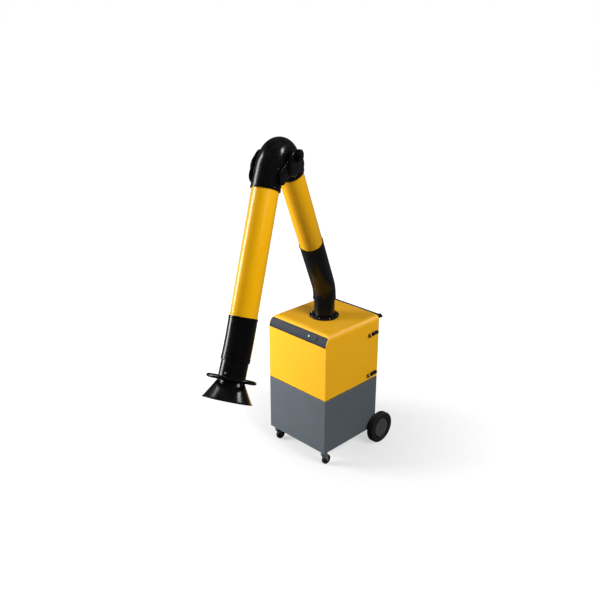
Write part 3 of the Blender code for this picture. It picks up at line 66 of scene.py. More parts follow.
# Cabinet
HALF = 0.300
HEIGHT = 0.976
LOWER_TOP = 0.4530
UPPER_BOTTOM = 0.4590
PANEL_BOTTOM = 0.889
PANEL_BACK = -0.264
PANEL_CORNER = 0.018
PANEL_GAP = 0.0064
COVER_FRONT = 0.200
COVER_TOP = 0.924
SHEET = 0.003
SEAM = 0.0008
TOP_BEND = 0.040
TOP_STEPS = 12
FRONT_BEND = 0.087
FRONT_STEPS = 28
CORNER_STEPS = 8
FITTING_DROP = 0.044
BUTTON_ACROSS = 0.190
BUTTON_HOLE = 0.0090
LAMP_ACROSS = 0.118
LAMP_HOLE = 0.0075
ARM_HOLE = 0.0912
HOLE_REACH = 0.02
HOLE_SIDES = 40
CUT_PAST = 0.01
OUTLET_HALF = 0.148
OUTLET_SPAN = (0.162, 0.268)
SHADE_GASKET_DROP = 0.0010
SHADE_GASKET_LAP = 0.0001
SHADE_SEAL_LAP = 0.0004
FLOOR_Z = -0.130

# Arm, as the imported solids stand
ARM_TURN = 22.1
LOWER_TILT = 32.3
ELBOW_FOLD = 57.6
WRIST_TILT = -4.5
SHOULDER_RISE = 0.221
SHOULDER_HOSE = (0.141, 0.525)
SHOULDER_BEND = 0.070
ELBOW_REACH = 1.372
ELBOW_OFFSET = 0.1055
ELBOW_BEND = 0.143
ELBOW_LAP = 0.1117
TUBE_RADIUS = 0.083
TUBE_BORE = 0.080
HOSE_RADIUS = 0.0865
HOSE_BORE = 0.0840
COLLAR_RADIUS = 0.0909
COLLAR_BORE = 0.0875
LOWER_TUBE = (0.505, 1.260)
FRONT_TUBE = (0.978, 0.112)
WRIST_PIVOT = 1.098
WRIST_HOSE = (0.958, 1.210)
WRIST_BEND = 0.045
NECK = (1.2226, 1.3406)
CONE = (1.3409, 1.4549)
NECK_RADIUS = 0.082
MOUTH_RADIUS = 0.1497
RING_STATION = 1.3266
RING_RADIUS = 0.138
DAMPER_STATION = 1.3006
LOWER_EARS = (0.0873, 0.0933)
UPPER_EARS = (0.0969, 0.1029)
EAR_FOOT = -0.112
HUB_FACE = 0.1032
KNOB_FACE = 0.1235
KNOB_RISE = 0.050

# Sides of round shapes, and the angle past which an edge stays sharp
SMOOTH_SIDES = 96
FINE_SIDES = 48
SMALL_SIDES = 24
HEXAGON = 6
CREASE = math.radians(38.0)
NEAR = 1e-6


def shift(x, y, z):
    """A move along the three axes."""
    return Matrix.Translation((x, y, z))


def rotate(degrees, axis):
    """A turn about one axis."""
    return Matrix.Rotation(math.radians(degrees), 4, axis)


TURN = shift(0, 0, HEIGHT) @ rotate(ARM_TURN, "Z")
SHOULDER = TURN @ shift(0, 0, SHOULDER_RISE) @ rotate(LOWER_TILT, "X")
ELBOW = SHOULDER @ shift(0, -ELBOW_OFFSET, ELBOW_REACH) @ rotate(-ELBOW_FOLD, "X")
FRONT = ELBOW @ shift(0, -ELBOW_OFFSET, 0)
WRIST = FRONT @ shift(0, 0, -WRIST_PIVOT) @ rotate(WRIST_TILT, "X")
ALONG_X = rotate(90, "Y")
ALONG_Y = rotate(-90, "X")


# Settings

COLOUR = {"subtype": "COLOR", "size": 3, "min": 0.0, "max": 1.0}
LENGTH = {"subtype": "DISTANCE", "unit": "LENGTH"}
POWER = {"subtype": "POWER", "unit": "POWER", "min": 0.0, "max": 5000.0}


class ExtractorFinishSettings(bpy.types.PropertyGroup):
    """Colours of the finishes."""

    yellow: FloatVectorProperty(
        name="Yellow paint",
        description="Powder coat of the upper cabinet and the arm tubes",
        default=(0.850, 0.420, 0.002),
        **COLOUR,
    )
    grey: FloatVectorProperty(
        name="Grey paint",
        description="Powder coat of the lower cabinet",
        default=(0.090, 0.105, 0.120),
        **COLOUR,
    )
    slate: FloatVectorProperty(
        name="Panel film",
        description="Film on the control panel",
        default=(0.032, 0.038, 0.048),
        **COLOUR,
    )
    black: FloatVectorProperty(
        name="Black plastic",
        description="Moulded pieces and hoses of the arm",
        default=(0.0022, 0.0022, 0.0026),
        **COLOUR,
    )
    rubber: FloatVectorProperty(
        name="Rubber",
        description="Tyres and castor treads",
        default=(0.0110, 0.0110, 0.0118),
        **COLOUR,
    )
    hub: FloatVectorProperty(
        name="Wheel hub",
        description="Moulded discs of the rear wheels",
        default=(0.051, 0.052, 0.054),
        **COLOUR,
    )
    lamp: FloatVectorProperty(
        name="Status lamp",
        description="Lens of the status lamp",
        default=(0.300, 0.720, 0.420),
        **COLOUR,
    )


class ExtractorSizeSettings(bpy.types.PropertyGroup):
    """Sizes and counts of the details that the solids leave open."""

    flange_bolts: IntProperty(
        name="Flange bolts",
        description="Bolts that hold the arm flange to the cabinet top",
        min=3,
        max=16,
        default=8,
    )
    fold_radius: FloatProperty(
        name="Fold radius",
        description="Rounding of the folded sheet edges",
        min=0.0002,
        max=0.004,
        default=0.0018,
        **LENGTH,
    )
    band_width: FloatProperty(
        name="Hose band width",
        description="Width of the bands that hold the hose ends",
        min=0.004,
        max=0.020,
        default=0.012,
        **LENGTH,
    )
    band_height: FloatProperty(
        name="Hose band height",
        description="How far the bands stand proud of the hose",
        min=0.0005,
        max=0.003,
        default=0.0014,
        **LENGTH,
    )
    louvres: IntProperty(
        name="Outlet louvres",
        description="Slats in the outlet grille",
        min=3,
        max=14,
        default=8,
    )
    tread_grooves: IntProperty(
        name="Tread grooves",
        description="Grooves round each rear tyre",
        min=1,
        max=5,
        default=3,
    )
    tread_blocks: IntProperty(
        name="Tread blocks",
        description="Blocks along each edge of a rear tyre's tread",
        min=8,
        max=60,
        default=30,
    )


class ExtractorStageSettings(bpy.types.PropertyGroup):
    """Light of the plain studio."""

    key_power: FloatProperty(
        name="Key light",
        description="Power of the soft light at the front left",
        default=265.0,
        **POWER,
    )
    stripe_power: FloatProperty(
        name="Stripe light",
        description="Power of the tall lights that only show in reflections",
        default=380.0,
        **POWER,
    )
    side_power: FloatProperty(
        name="Side fill",
        description="Power of the high light at the right",
        default=1400.0,
        **POWER,
    )
    rim_power: FloatProperty(
        name="Rim light",
        description="Power of the soft light behind on the right",
        default=20.0,
        **POWER,
    )
    surround: FloatProperty(
        name="Surround",
        description="Brightness of the pale surround",
        min=0.0,
        max=3.0,
        default=0.06,
    )


# Shared shader groups


def new_group(name, inputs, outputs):
    """Start a shader group with named sockets and return its tree, entry and exit."""
    tree = bpy.data.node_groups.new(name, "ShaderNodeTree")
    for label, kind, default in inputs:
        socket = tree.interface.new_socket(name=label, in_out="INPUT", socket_type=kind)
        socket.default_value = default
    for label, kind in outputs:
        tree.interface.new_socket(name=label, in_out="OUTPUT", socket_type=kind)
    return tree, tree.nodes.new("NodeGroupInput"), tree.nodes.new("NodeGroupOutput")


def add_node(tree, kind, settings=None, values=None):
    """Add a node, with its settings and its plain input values."""
    made = tree.nodes.new(kind)
    for name, value in (settings or {}).items():
        setattr(made, name, value)
    for name, value in (values or {}).items():
        made.inputs[name].default_value = value
    return made


def add_maths(tree, operation, *sources, use_clamp=False):
    """Add a maths node whose inputs are linked, or plain numbers."""
    made = add_node(tree, "ShaderNodeMath", {"operation": operation, "use_clamp": use_clamp})
    for index, source in enumerate(sources):
        if isinstance(source, float):
            made.inputs[index].default_value = source
        else:
            tree.links.new(source, made.inputs[index])
    return made.outputs[0]


def noise_on_object(tree, scale=None, detail=2.0, roughness=0.5):
    """Noise that sits on the piece itself."""
    place = add_node(tree, "ShaderNodeTexCoord")
    values = {"Detail": detail, "Roughness": roughness}
    if scale is not None:
        values["Scale"] = scale
    noise = add_node(tree, "ShaderNodeTexNoise", values=values)
    tree.links.new(place.outputs["Object"], noise.inputs["Vector"])
    return noise


def remap(tree, source, old, new):
    """Spread a value from its old range over a new one."""
    ends = {"From Min": old[0], "From Max": old[1], "To Min": new[0], "To Max": new[1]}
    made = add_node(tree, "ShaderNodeMapRange", values=ends)
    tree.links.new(source, made.inputs["Value"])
    return made.outputs["Result"]


def skin_group():
    """Slow drift of tone and gloss, and the fine ripple of a coated or moulded skin."""
    found = bpy.data.node_groups.get("surface_skin")
    if found:
        return found
    tree, entry, way_out = new_group(
        "surface_skin",
        [
            ("Colour", "NodeSocketColor", (0.5, 0.5, 0.5, 1.0)),
            ("Tone", "NodeSocketFloat", 0.08),
            ("Gloss Low", "NodeSocketFloat", 0.25),
            ("Gloss High", "NodeSocketFloat", 0.35),
            ("Ripple Scale", "NodeSocketFloat", 300.0),
        ],
        [
            ("Colour", "NodeSocketColor"),
            ("Roughness", "NodeSocketFloat"),
            ("Height", "NodeSocketFloat"),
        ],
    )
    link = tree.links.new
    slow = noise_on_object(tree, scale=4.0, detail=3.0)
    swing = remap(tree, slow.outputs["Fac"], (0.3, 0.7), (-1.0, 1.0))
    tint = add_node(tree, "ShaderNodeHueSaturation")
    link(entry.outputs["Colour"], tint.inputs["Color"])
    drift = add_maths(tree, "MULTIPLY_ADD", swing, entry.outputs["Tone"], 1.0)
    link(drift, tint.inputs["Value"])
    link(tint.outputs["Color"], way_out.inputs["Colour"])
    patch = noise_on_object(tree, scale=14.0, detail=4.0, roughness=0.6)
    gloss = add_node(tree, "ShaderNodeMapRange", values={"From Min": 0.3, "From Max": 0.7})
    link(patch.outputs["Fac"], gloss.inputs["Value"])
    link(entry.outputs["Gloss Low"], gloss.inputs["To Min"])
    link(entry.outputs["Gloss High"], gloss.inputs["To Max"])
    link(gloss.outputs["Result"], way_out.inputs["Roughness"])
    ripple = noise_on_object(tree, detail=1.0)
    link(entry.outputs["Ripple Scale"], ripple.inputs["Scale"])
    link(ripple.outputs["Fac"], way_out.inputs["Height"])
    return tree


def mask_group(name, amount):
    """Start a group that puts out one mask, scaled by its Amount."""
    return new_group(
        name, [("Amount", "NodeSocketFloat", amount)], [("Mask", "NodeSocketFloat")]
    )


def put_out_mask(tree, entry, way_out, first, second):
    """Put out the product of two masks and the Amount."""
    both = add_maths(tree, "MULTIPLY", first, second)
    scaled = add_maths(tree, "MULTIPLY", both, entry.outputs["Amount"], use_clamp=True)
    tree.links.new(scaled, way_out.inputs["Mask"])
    return tree


def edge_rub_and_highlight_group():
    """Where edges are rubbed and get a painted highlight: found from the rounded normal, broken up
    by noise.
    """
    found = bpy.data.node_groups.get("edge_rub")
    if found:
        return found
    tree, entry, way_out = mask_group("edge_rub", 0.5)
    rounded = add_node(tree, "ShaderNodeBevel", {"samples": 4}, {"Radius": 0.0022})
    shape = add_node(tree, "ShaderNodeNewGeometry")
    match = add_node(tree, "ShaderNodeVectorMath", {"operation": "DOT_PRODUCT"})
    tree.links.new(rounded.outputs["Normal"], match.inputs[0])
    tree.links.new(shape.outputs["Normal"], match.inputs[1])
    edge = remap(tree, match.outputs["Value"], (0.985, 0.90), (0.0, 1.0))
    broken = noise_on_object(tree, scale=60.0, detail=4.0, roughness=0.7)
    patch = remap(tree, broken.outputs["Fac"], (0.45, 0.70), (0.0, 1.0))
    return put_out_mask(tree, entry, way_out, edge, patch)


def dust_group():
    """Fine dust that settles on upward faces."""
    found = bpy.data.node_groups.get("settled_dust")
    if found:
        return found
    tree, entry, way_out = mask_group("settled_dust", 0.3)
    shape = add_node(tree, "ShaderNodeNewGeometry")
    parts = add_node(tree, "ShaderNodeSeparateXYZ")
    tree.links.new(shape.outputs["Normal"], parts.inputs[0])
    upward = remap(tree, parts.outputs["Z"], (0.35, 1.0), (0.0, 1.0))
    cloud = noise_on_object(tree, scale=22.0, detail=6.0, roughness=0.65)
    patch = remap(tree, cloud.outputs["Fac"], (0.40, 0.75), (0.0, 1.0))
    return put_out_mask(tree, entry, way_out, upward, patch)


# Finishes: the colour is a setting's name or the finish's own. The skin is the drift of tone, the
# least and the most roughness and the scale of the ripple. The rub and highlight is an amount and a
# colour that edges turn, partly as wear and partly as a painted highlight, and the bump is a
# strength and a distance.

Finish = namedtuple("Finish", "name slot colour plain skin rub dust bump")

SKIN_INPUTS = ("Tone", "Gloss Low", "Gloss High", "Ripple Scale")
DUST_COLOUR = (0.46, 0.44, 0.40)
# Paler yellow for the edges: partly worn paint, partly a painted highlight.
RUBBED_YELLOW_HIGHLIGHT = (0.92, 0.62, 0.12)

YELLOW_PAINT = Finish(
    "yellow_powder_coat", "casing_yellow", "yellow",
    plain={"IOR": 1.5, "Specular IOR Level": 0.85},
    skin=(0.015, 0.46, 0.54, 420.0),
    rub=(0.22, RUBBED_YELLOW_HIGHLIGHT), dust=0.03, bump=(0.10, 0.0005),
)
TUBE_LACQUER = Finish(
    "yellow_tube_lacquer", "tube_yellow", "yellow",
    plain={
        "IOR": 1.5, "Specular IOR Level": 0.30, "Coat Weight": 0.12, "Coat Roughness": 0.10,
    },
    skin=(0.02, 0.24, 0.30, 260.0),
    rub=(0.20, RUBBED_YELLOW_HIGHLIGHT), dust=0.02, bump=(0.06, 0.0005),
)
GREY_PAINT = Finish(
    "grey_powder_coat", "casing_grey", "grey",
    plain={"IOR": 1.5, "Specular IOR Level": 0.75},
    skin=(0.03, 0.40, 0.50, 420.0),
    rub=(0.25, (0.24, 0.26, 0.28)), dust=0.05, bump=(0.14, 0.0005),
)
PANEL_FILM = Finish(
    "slate_panel_film", "panel_slate", "slate",
    plain={"IOR": 1.48, "Specular IOR Level": 0.12},
    skin=(0.03, 0.55, 0.65, 900.0),
    rub=(0.15, (0.18, 0.20, 0.25)), dust=0.03, bump=(0.08, 0.0003),
)
BLACK_PLASTIC = Finish(
    "black_gloss_plastic", "black_gloss", "black",
    plain={"IOR": 1.46, "Specular IOR Level": 0.25},
    skin=(0.15, 0.17, 0.25, 160.0),
    rub=(0.18, (0.05, 0.05, 0.052)), dust=0.02, bump=(0.05, 0.0006),
)
BLACK_HOSE = Finish(
    "black_hose_skin", "black_hose", "black",
    plain={"IOR": 1.48, "Specular IOR Level": 0.25},
    skin=(0.18, 0.17, 0.26, 70.0),
    rub=None, dust=0.03, bump=(0.10, 0.0010),
)
BLACK_SATIN = Finish(
    "black_satin_coat", "black_gloss", "black",
    plain={"IOR": 1.5, "Specular IOR Level": 0.20},
    skin=(0.15, 0.34, 0.46, 500.0),
    rub=(0.12, (0.06, 0.06, 0.063)), dust=0.02, bump=(0.10, 0.0004),
)
TYRE_RUBBER = Finish(
    "tyre_rubber", "black_tyre", "rubber",
    plain={"IOR": 1.5, "Specular IOR Level": 0.35},
    skin=(0.20, 0.55, 0.72, 240.0),
    rub=(0.30, (0.045, 0.044, 0.042)), dust=0.10, bump=(0.18, 0.0006),
)
HUB_PLASTIC = Finish(
    "hub_grey_plastic", "hub_grey", "hub",
    plain={"IOR": 1.48},
    skin=(0.08, 0.36, 0.48, 600.0),
    rub=(0.25, (0.11, 0.11, 0.115)), dust=0.06, bump=(0.12, 0.0003),
)
ZINC_STEEL = Finish(
    "zinc_plated_steel", "zinc_steel", (0.52, 0.53, 0.54),
    plain={"Metallic": 1.0},
    skin=(0.08, 0.22, 0.38, 900.0),
    rub=(0.30, (0.66, 0.66, 0.66)), dust=0.03, bump=(0.05, 0.0002),
)
LATCH_STEEL = Finish(
    "dark_latch_steel", "zinc_steel", (0.20, 0.16, 0.11),
    plain={"Metallic": 1.0},
    skin=(0.10, 0.38, 0.52, 900.0),
    rub=(0.20, (0.34, 0.31, 0.27)), dust=0.03, bump=(0.05, 0.0002),
)
MOTOR_CAST = Finish(
    "cast_motor_housing", "motor_cast", (0.16, 0.165, 0.17),
    plain={"Metallic": 0.6},
    skin=(0.10, 0.50, 0.65, 380.0),
    rub=(0.30, (0.36, 0.36, 0.36)), dust=0.15, bump=(0.35, 0.0008),
)
FILTER_MEDIA = Finish(
    "filter_media", "filter_media", (0.70, 0.69, 0.66),
    plain={},
    skin=(0.06, 0.85, 0.95, 160.0),
    rub=None, dust=0.2, bump=(0.40, 0.0015),
)
FRICTION_FIBRE = Finish(
    "friction_fibre", "friction_fibre", (0.17, 0.12, 0.075),
    plain={},
    skin=(0.12, 0.75, 0.9, 500.0),
    rub=None, dust=0.05, bump=(0.30, 0.0006),
)
GREEN_LENS = Finish(
    "green_lamp_lens", "green_lens", "lamp",
    plain={
        "IOR": 1.49, "Emission Color": (0.03, 0.75, 0.16, 1.0), "Emission Strength": 0.08,
    },
    skin=(0.05, 0.30, 0.36, 260.0),
    rub=None, dust=0.0, bump=(0.03, 0.0003),
)


def finish_colour(finish):
    """The colour that the user has set, or the finish's own."""
    if isinstance(finish.colour, str):
        return getattr(bpy.context.scene.extractor_finishes, finish.colour)
    return finish.colour


def mix_colours(tree, group, amount, first, second):
    """Blend a linked colour towards a plain one by a group's mask."""
    mask = add_node(tree, "ShaderNodeGroup", {"node_tree": group}, {"Amount": amount})
    made = add_node(tree, "ShaderNodeMix", {"data_type": "RGBA"}, {"B": (*second, 1.0)})
    tree.links.new(mask.outputs["Mask"], made.inputs["Factor"])
    tree.links.new(first, made.inputs["A"])
    return made.outputs["Result"]


def finish_material(finish):
    """The material of a finish, with its skin, paler edges that are partly wear and partly a painted
    highlight, and settled dust.
    """
    found = bpy.data.materials.get(finish.name)
    if found:
        return found
    made = bpy.data.materials.new(finish.name)
    made.use_nodes = True
    tree = made.node_tree
    shader = tree.nodes["Principled BSDF"]
    for socket, value in finish.plain.items():
        shader.inputs[socket].default_value = value
    values = {"Colour": (*finish_colour(finish), 1.0), **dict(zip(SKIN_INPUTS, finish.skin))}
    surface = add_node(tree, "ShaderNodeGroup", {"node_tree": skin_group()}, values)
    colour = surface.outputs["Colour"]
    # Edges turn paler: partly wear, partly a painted highlight.
    if finish.rub:
        amount, rub_highlight_colour = finish.rub
        colour = mix_colours(tree, edge_rub_and_highlight_group(), amount, colour, rub_highlight_colour)
    if finish.dust:
        colour = mix_colours(tree, dust_group(), finish.dust, colour, DUST_COLOUR)
    tree.links.new(colour, shader.inputs["Base Color"])
    tree.links.new(surface.outputs["Roughness"], shader.inputs["Roughness"])
    strength, distance = finish.bump
    relief = add_node(
        tree, "ShaderNodeBump", values={"Strength": strength, "Distance": distance}
    )
    tree.links.new(surface.outputs["Height"], relief.inputs["Height"])
    tree.links.new(relief.outputs["Normal"], shader.inputs["Normal"])
    return made


# Modelling helpers


def of_kind(kind, items):
    """The items of one kind, such as edges, in an operator's result."""
    return [item for item in items if isinstance(item, kind)]


def edges_where(shape, test):
    """The edges whose two ends both pass a test of their place."""
    return [edge for edge in shape.edges if all(test(vert.co) for vert in edge.verts)]


def tidy_shape(shape):
    """Close seams and turn every face outwards."""
    bmesh.ops.remove_doubles(shape, verts=shape.verts, dist=0.000002)
    bmesh.ops.recalc_face_normals(shape, faces=shape.faces)
    return shape


def move_shape(shape, place):
    """Put a whole shape in place."""
    bmesh.ops.transform(shape, matrix=place, verts=shape.verts)
    return shape


def join_shapes(*shapes):
    """Gather several shapes in the first one."""
    first = shapes[0]
    for other in shapes[1:]:
        carrier = bpy.data.meshes.new("carrier")
        other.to_mesh(carrier)
        other.free()
        first.from_mesh(carrier)
        bpy.data.meshes.remove(carrier)
    return first


def bevel_edges(shape, edges, width, segments):
    """Round some edges."""
    bmesh.ops.bevel(
        shape,
        geom=list(edges),
        offset=width,
        offset_type="OFFSET",
        segments=segments,
        profile=0.5,
        affect="EDGES",
        clamp_overlap=True,
        material=-1,
    )
    return shape


def sharp_edges(shape, degrees=40.0):
    """The edges whose faces meet at more than this angle."""
    limit = math.radians(degrees)
    return [
        edge
        for edge in shape.edges
        if len(edge.link_faces) == 2 and edge.calc_face_angle() > limit
    ]


def box_shape(low, high, rounding=0.0, segments=2):
    """A box between two corners, with rounded edges."""
    low = Vector(low)
    high = Vector(high)
    shape = bmesh.new()
    bmesh.ops.create_cube(shape, size=1.0)
    bmesh.ops.scale(shape, vec=high - low, verts=shape.verts)
    bmesh.ops.translate(shape, vec=(low + high) / 2, verts=shape.verts)
    if rounding:
        bevel_edges(shape, shape.edges, rounding, segments)
    return shape


def bar_shape(radius, start, end, sides, rounding=0.0, segments=2):
    """A round bar along Z with rounded ends."""
    shape = bmesh.new()
    bmesh.ops.create_cone(
        shape, cap_ends=True, segments=sides, radius1=radius, radius2=radius, depth=end - start
    )
    bmesh.ops.translate(shape, vec=(0, 0, (start + end) / 2), verts=shape.verts)
    if rounding:
        bevel_edges(shape, sharp_edges(shape), rounding, segments)
    return shape


def spin_round(shape, sides):
    """Turn an outline fully round Z."""
    bmesh.ops.spin(
        shape,
        geom=shape.verts[:] + shape.edges[:],
        cent=(0, 0, 0),
        axis=(0, 0, 1),
        angle=2 * math.pi,
        steps=sides,
        use_merge=True,
        use_duplicate=False,
    )
    return tidy_shape(shape)


def turned_shape(points, sides=SMOOTH_SIDES, segments=3):
    """Turn a closed section round Z; a point's third value rounds that corner."""
    shape = bmesh.new()
    verts = [shape.verts.new((point[0], 0, point[1])) for point in points]
    shape.faces.new(verts)
    for vert, point in zip(verts, points):
        if len(point) > 2:
            bmesh.ops.bevel(
                shape,
                geom=[vert],
                offset=point[2],
                segments=segments,
                profile=0.5,
                affect="VERTICES",
                clamp_overlap=True,
                material=-1,
            )
    bmesh.ops.delete(shape, geom=shape.faces[:], context="FACES_ONLY")
    return spin_round(shape, sides)


def link_shape(circles, low, high, rounding, sides, segments):
    """A plate in the YZ plane that wraps some circles, from low to high along X."""
    shape = bmesh.new()
    for y, z, radius in circles:
        for level in (low, high):
            spot = shift(level, y, z) @ ALONG_X
            bmesh.ops.create_circle(
                shape, cap_ends=False, radius=radius, segments=sides, matrix=spot
            )
    hull = bmesh.ops.convex_hull(shape, input=shape.verts)
    loose = of_kind(BMVert, hull["geom_interior"] + hull["geom_unused"])
    bmesh.ops.delete(shape, geom=list(set(loose)), context="VERTS")
    bmesh.ops.dissolve_limit(
        shape, angle_limit=math.radians(1.0), verts=shape.verts, edges=shape.edges
    )
    tidy_shape(shape)
    return bevel_edges(shape, sharp_edges(shape, 60.0), rounding, segments)


def run_straight(shape, rim, step, count):
    """Draw a rim out in equal steps and return its new end."""
    for _ in range(count):
        made = bmesh.ops.extrude_edge_only(shape, edges=rim)["geom"]
        bmesh.ops.translate(shape, vec=step, verts=of_kind(BMVert, made))
        rim = of_kind(BMEdge, made)
    return rim


def hose_shape(radius, first, bend_radius, bend_angle, last, rings):
    """A hose that runs up Z, bends towards -Y and runs on, with its wall."""
    shape = bmesh.new()
    bmesh.ops.create_circle(shape, cap_ends=False, radius=radius, segments=SMOOTH_SIDES)
    heading = Vector((0, 0, 1))
    rim = run_straight(shape, shape.edges[:], heading * first / rings[0], rings[0])
    bend = bmesh.ops.spin(
        shape,
        geom=rim,
        cent=(0, -bend_radius, first),
        axis=(1, 0, 0),
        angle=bend_angle,
        steps=rings[1],
        use_merge=False,
        use_duplicate=False,
    )
    heading = Vector((0, -math.sin(bend_angle), math.cos(bend_angle)))
    rim = of_kind(BMEdge, bend["geom_last"])
    run_straight(shape, rim, heading * last / rings[2], rings[2])
    tidy_shape(shape)
    outward = 0.0
    for face in shape.faces[:SMOOTH_SIDES]:
        across = face.calc_center_median()
        across.z = 0.0
        outward += face.normal.dot(across)
    if outward < 0:
        bmesh.ops.reverse_faces(shape, faces=shape.faces)
    bmesh.ops.solidify(shape, geom=shape.faces[:], thickness=radius - HOSE_BORE)
    bmesh.ops.recalc_face_normals(shape, faces=shape.faces)
    return shape


def band_shape(station):
    """A hose band with rounded edges, centred on a station along Z."""
    sizes = bpy.context.scene.extractor_sizes
    half = sizes.band_width / 2
    proud = HOSE_RADIUS + sizes.band_height
    sunk = HOSE_RADIUS - 0.0006
    edge = 0.0008
    return turned_shape(
        [
            (proud, station + half, edge),
            (proud, station - half, edge),
            (sunk, station - half),
            (sunk, station + half),
        ]
    )


def bolt_shape(radius, height, place):
    """A hexagon bolt head on a washer."""
    washer = bar_shape(radius * 1.35, 0.0, height * 0.22, SMALL_SIDES, height * 0.06)
    head = bar_shape(radius, height * 0.2, height, HEXAGON, height * 0.10)
    return move_shape(join_shapes(washer, head), place)


def screw_shape(radius, place):
    """A pan head screw with a fine raised cross."""
    head = turned_shape(
        [
            (radius, 0.0),
            (0.0, 0.0),
            (0.0, radius * 0.55),
            (radius * 0.72, radius * 0.52, radius * 0.2),
        ],
        SMALL_SIDES,
    )
    reach = radius * 0.55
    thin = radius * 0.09
    low = radius * 0.50
    high = radius * 0.57
    along = box_shape((-reach, -thin, low), (reach, thin, high))
    cross = box_shape((-thin, -reach, low), (thin, reach, high))
    return move_shape(join_shapes(head, along, cross), place)


# Making pieces of shapes


def shape_object(name, shape):
    """Make an object of a shape."""
    mesh = bpy.data.meshes.new(name)
    shape.to_mesh(mesh)
    shape.free()
    made = bpy.data.objects.new(name, mesh)
    bpy.context.scene.collection.objects.link(made)
    return made


def applied_mesh(piece):
    """A new mesh of an object with its modifiers applied."""
    graph = bpy.context.evaluated_depsgraph_get()
    return bpy.data.meshes.new_from_object(piece.evaluated_get(graph))


def drop_object(piece):
    """Remove an object and its mesh."""
    mesh = piece.data
    bpy.data.objects.remove(piece, do_unlink=True)
    bpy.data.meshes.remove(mesh)


def take_shape(piece):
    """Turn an object with its modifiers into a shape, and remove it."""
    mesh = applied_mesh(piece)
    shape = bmesh.new()
    shape.from_mesh(mesh)
    bpy.data.meshes.remove(mesh)
    drop_object(piece)
    return shape


def carve(target, shape, operation="DIFFERENCE"):
    """Cut an object with a shape, or keep what both share, and apply it."""
    tool = shape_object("tool", shape)
    step = target.modifiers.new("carve", "BOOLEAN")
    step.operation = operation
    step.object = tool
    step.solver = "EXACT"
    mesh = applied_mesh(target)
    target.modifiers.clear()
    old = target.data
    target.data = mesh
    bpy.data.meshes.remove(old)
    drop_object(tool)


def dress(piece, finish, soften=0.0):
    """Give a piece its finish, smooth shading and softened edges."""
    piece.data.materials.clear()
    piece.data.materials.append(finish_material(finish))
    piece.data.shade_smooth()
    piece.data.set_sharp_from_angle(angle=CREASE)
    if soften:
        rounding = piece.modifiers.new("softened edges", "BEVEL")
        rounding.width = soften
        rounding.segments = 2
        rounding.limit_method = "ANGLE"
        rounding.angle_limit = CREASE
        rounding.use_clamp_overlap = True
        even = piece.modifiers.new("even shading", "WEIGHTED_NORMAL")
        even.keep_sharp = True


def seat_piece(piece, finish, node=None, soften=0.0, body="cabinet"):
    """Dress a piece, let it ride on a body and let it replace its CAD node."""
    dress(piece, finish, soften)
    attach(piece, body)
    if node:
        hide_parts(node)


def add_piece(name, shape, finish, body, place=None, node=None):
    """Finish a shape as a named piece that rides on a body."""
    if place is not None:
        move_shape(shape, place)
    seat_piece(shape_object(name, shape), finish, node, body=body)


def add_hose(name, shape, place, node):
    """Finish a hose across the joint between two bodies, with its place baked into its mesh."""
    move_shape(shape, place)
    piece = shape_object(name, shape)
    dress(piece, BLACK_HOSE)
    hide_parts(node)
    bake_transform(piece)


# Cabinet


def casing_block(offset, bottom):
    """The upper cabinet's block with its rounded top edges."""
    side = HALF - offset
    top = HEIGHT - offset
    shape = box_shape((-side, -side, bottom), (side, side, top))
    ridges = [
        edge
        for edge in edges_where(shape, lambda spot: abs(spot.z - top) < NEAR)
        if abs(edge.verts[0].co.x - edge.verts[1].co.x) < NEAR
    ]
    return bevel_edges(shape, ridges, TOP_BEND - offset, TOP_STEPS)


def front_edge_block(offset, bottom):
    """A wide block whose top front edge is rounded."""
    side = HALF - offset
    top = HEIGHT - offset
    shape = box_shape((-2 * HALF, -side, bottom), (2 * HALF, side, top))
    ridges = edges_where(shape, lambda spot: abs(spot.z - top) < NEAR and spot.y < 0)
    return bevel_edges(shape, ridges, FRONT_BEND - offset, FRONT_STEPS)


def front_place(across):
    """A place on the front bend with its Z axis square to the sheet."""
    tilt = math.asin((FRONT_BEND - FITTING_DROP) / FRONT_BEND)
    behind = FRONT_BEND * (1 - math.cos(tilt))
    spot = shift(across, behind - HALF, HEIGHT - FITTING_DROP)
    return spot @ Matrix.Rotation(math.pi / 2 - tilt, 4, "X")


def panel_window(margin):
    """The room of the control panel, with rounded back corners."""
    side = HALF - SHEET - margin
    back = PANEL_BACK - margin
    room = box_shape((-side, -1, PANEL_BOTTOM + margin), (side, back, 2))
    corners = [
        edge
        for edge in edges_where(room, lambda spot: abs(spot.y - back) < NEAR)
        if abs(edge.verts[0].co.z - edge.verts[1].co.z) > 1
    ]
    return bevel_edges(room, corners, PANEL_CORNER - margin, CORNER_STEPS)


def casing_shell(name, sunk=0.0):
    """The upper cabinet's whole shell, before it is divided."""
    shell = shape_object(name, casing_block(sunk, UPPER_BOTTOM))
    carve(shell, front_edge_block(sunk, UPPER_BOTTOM), "INTERSECT")
    hollow = shape_object("hollow", casing_block(SHEET, UPPER_BOTTOM - SHEET))
    carve(hollow, front_edge_block(SHEET, UPPER_BOTTOM - SHEET), "INTERSECT")
    carve(shell, take_shape(hollow))
    return shell


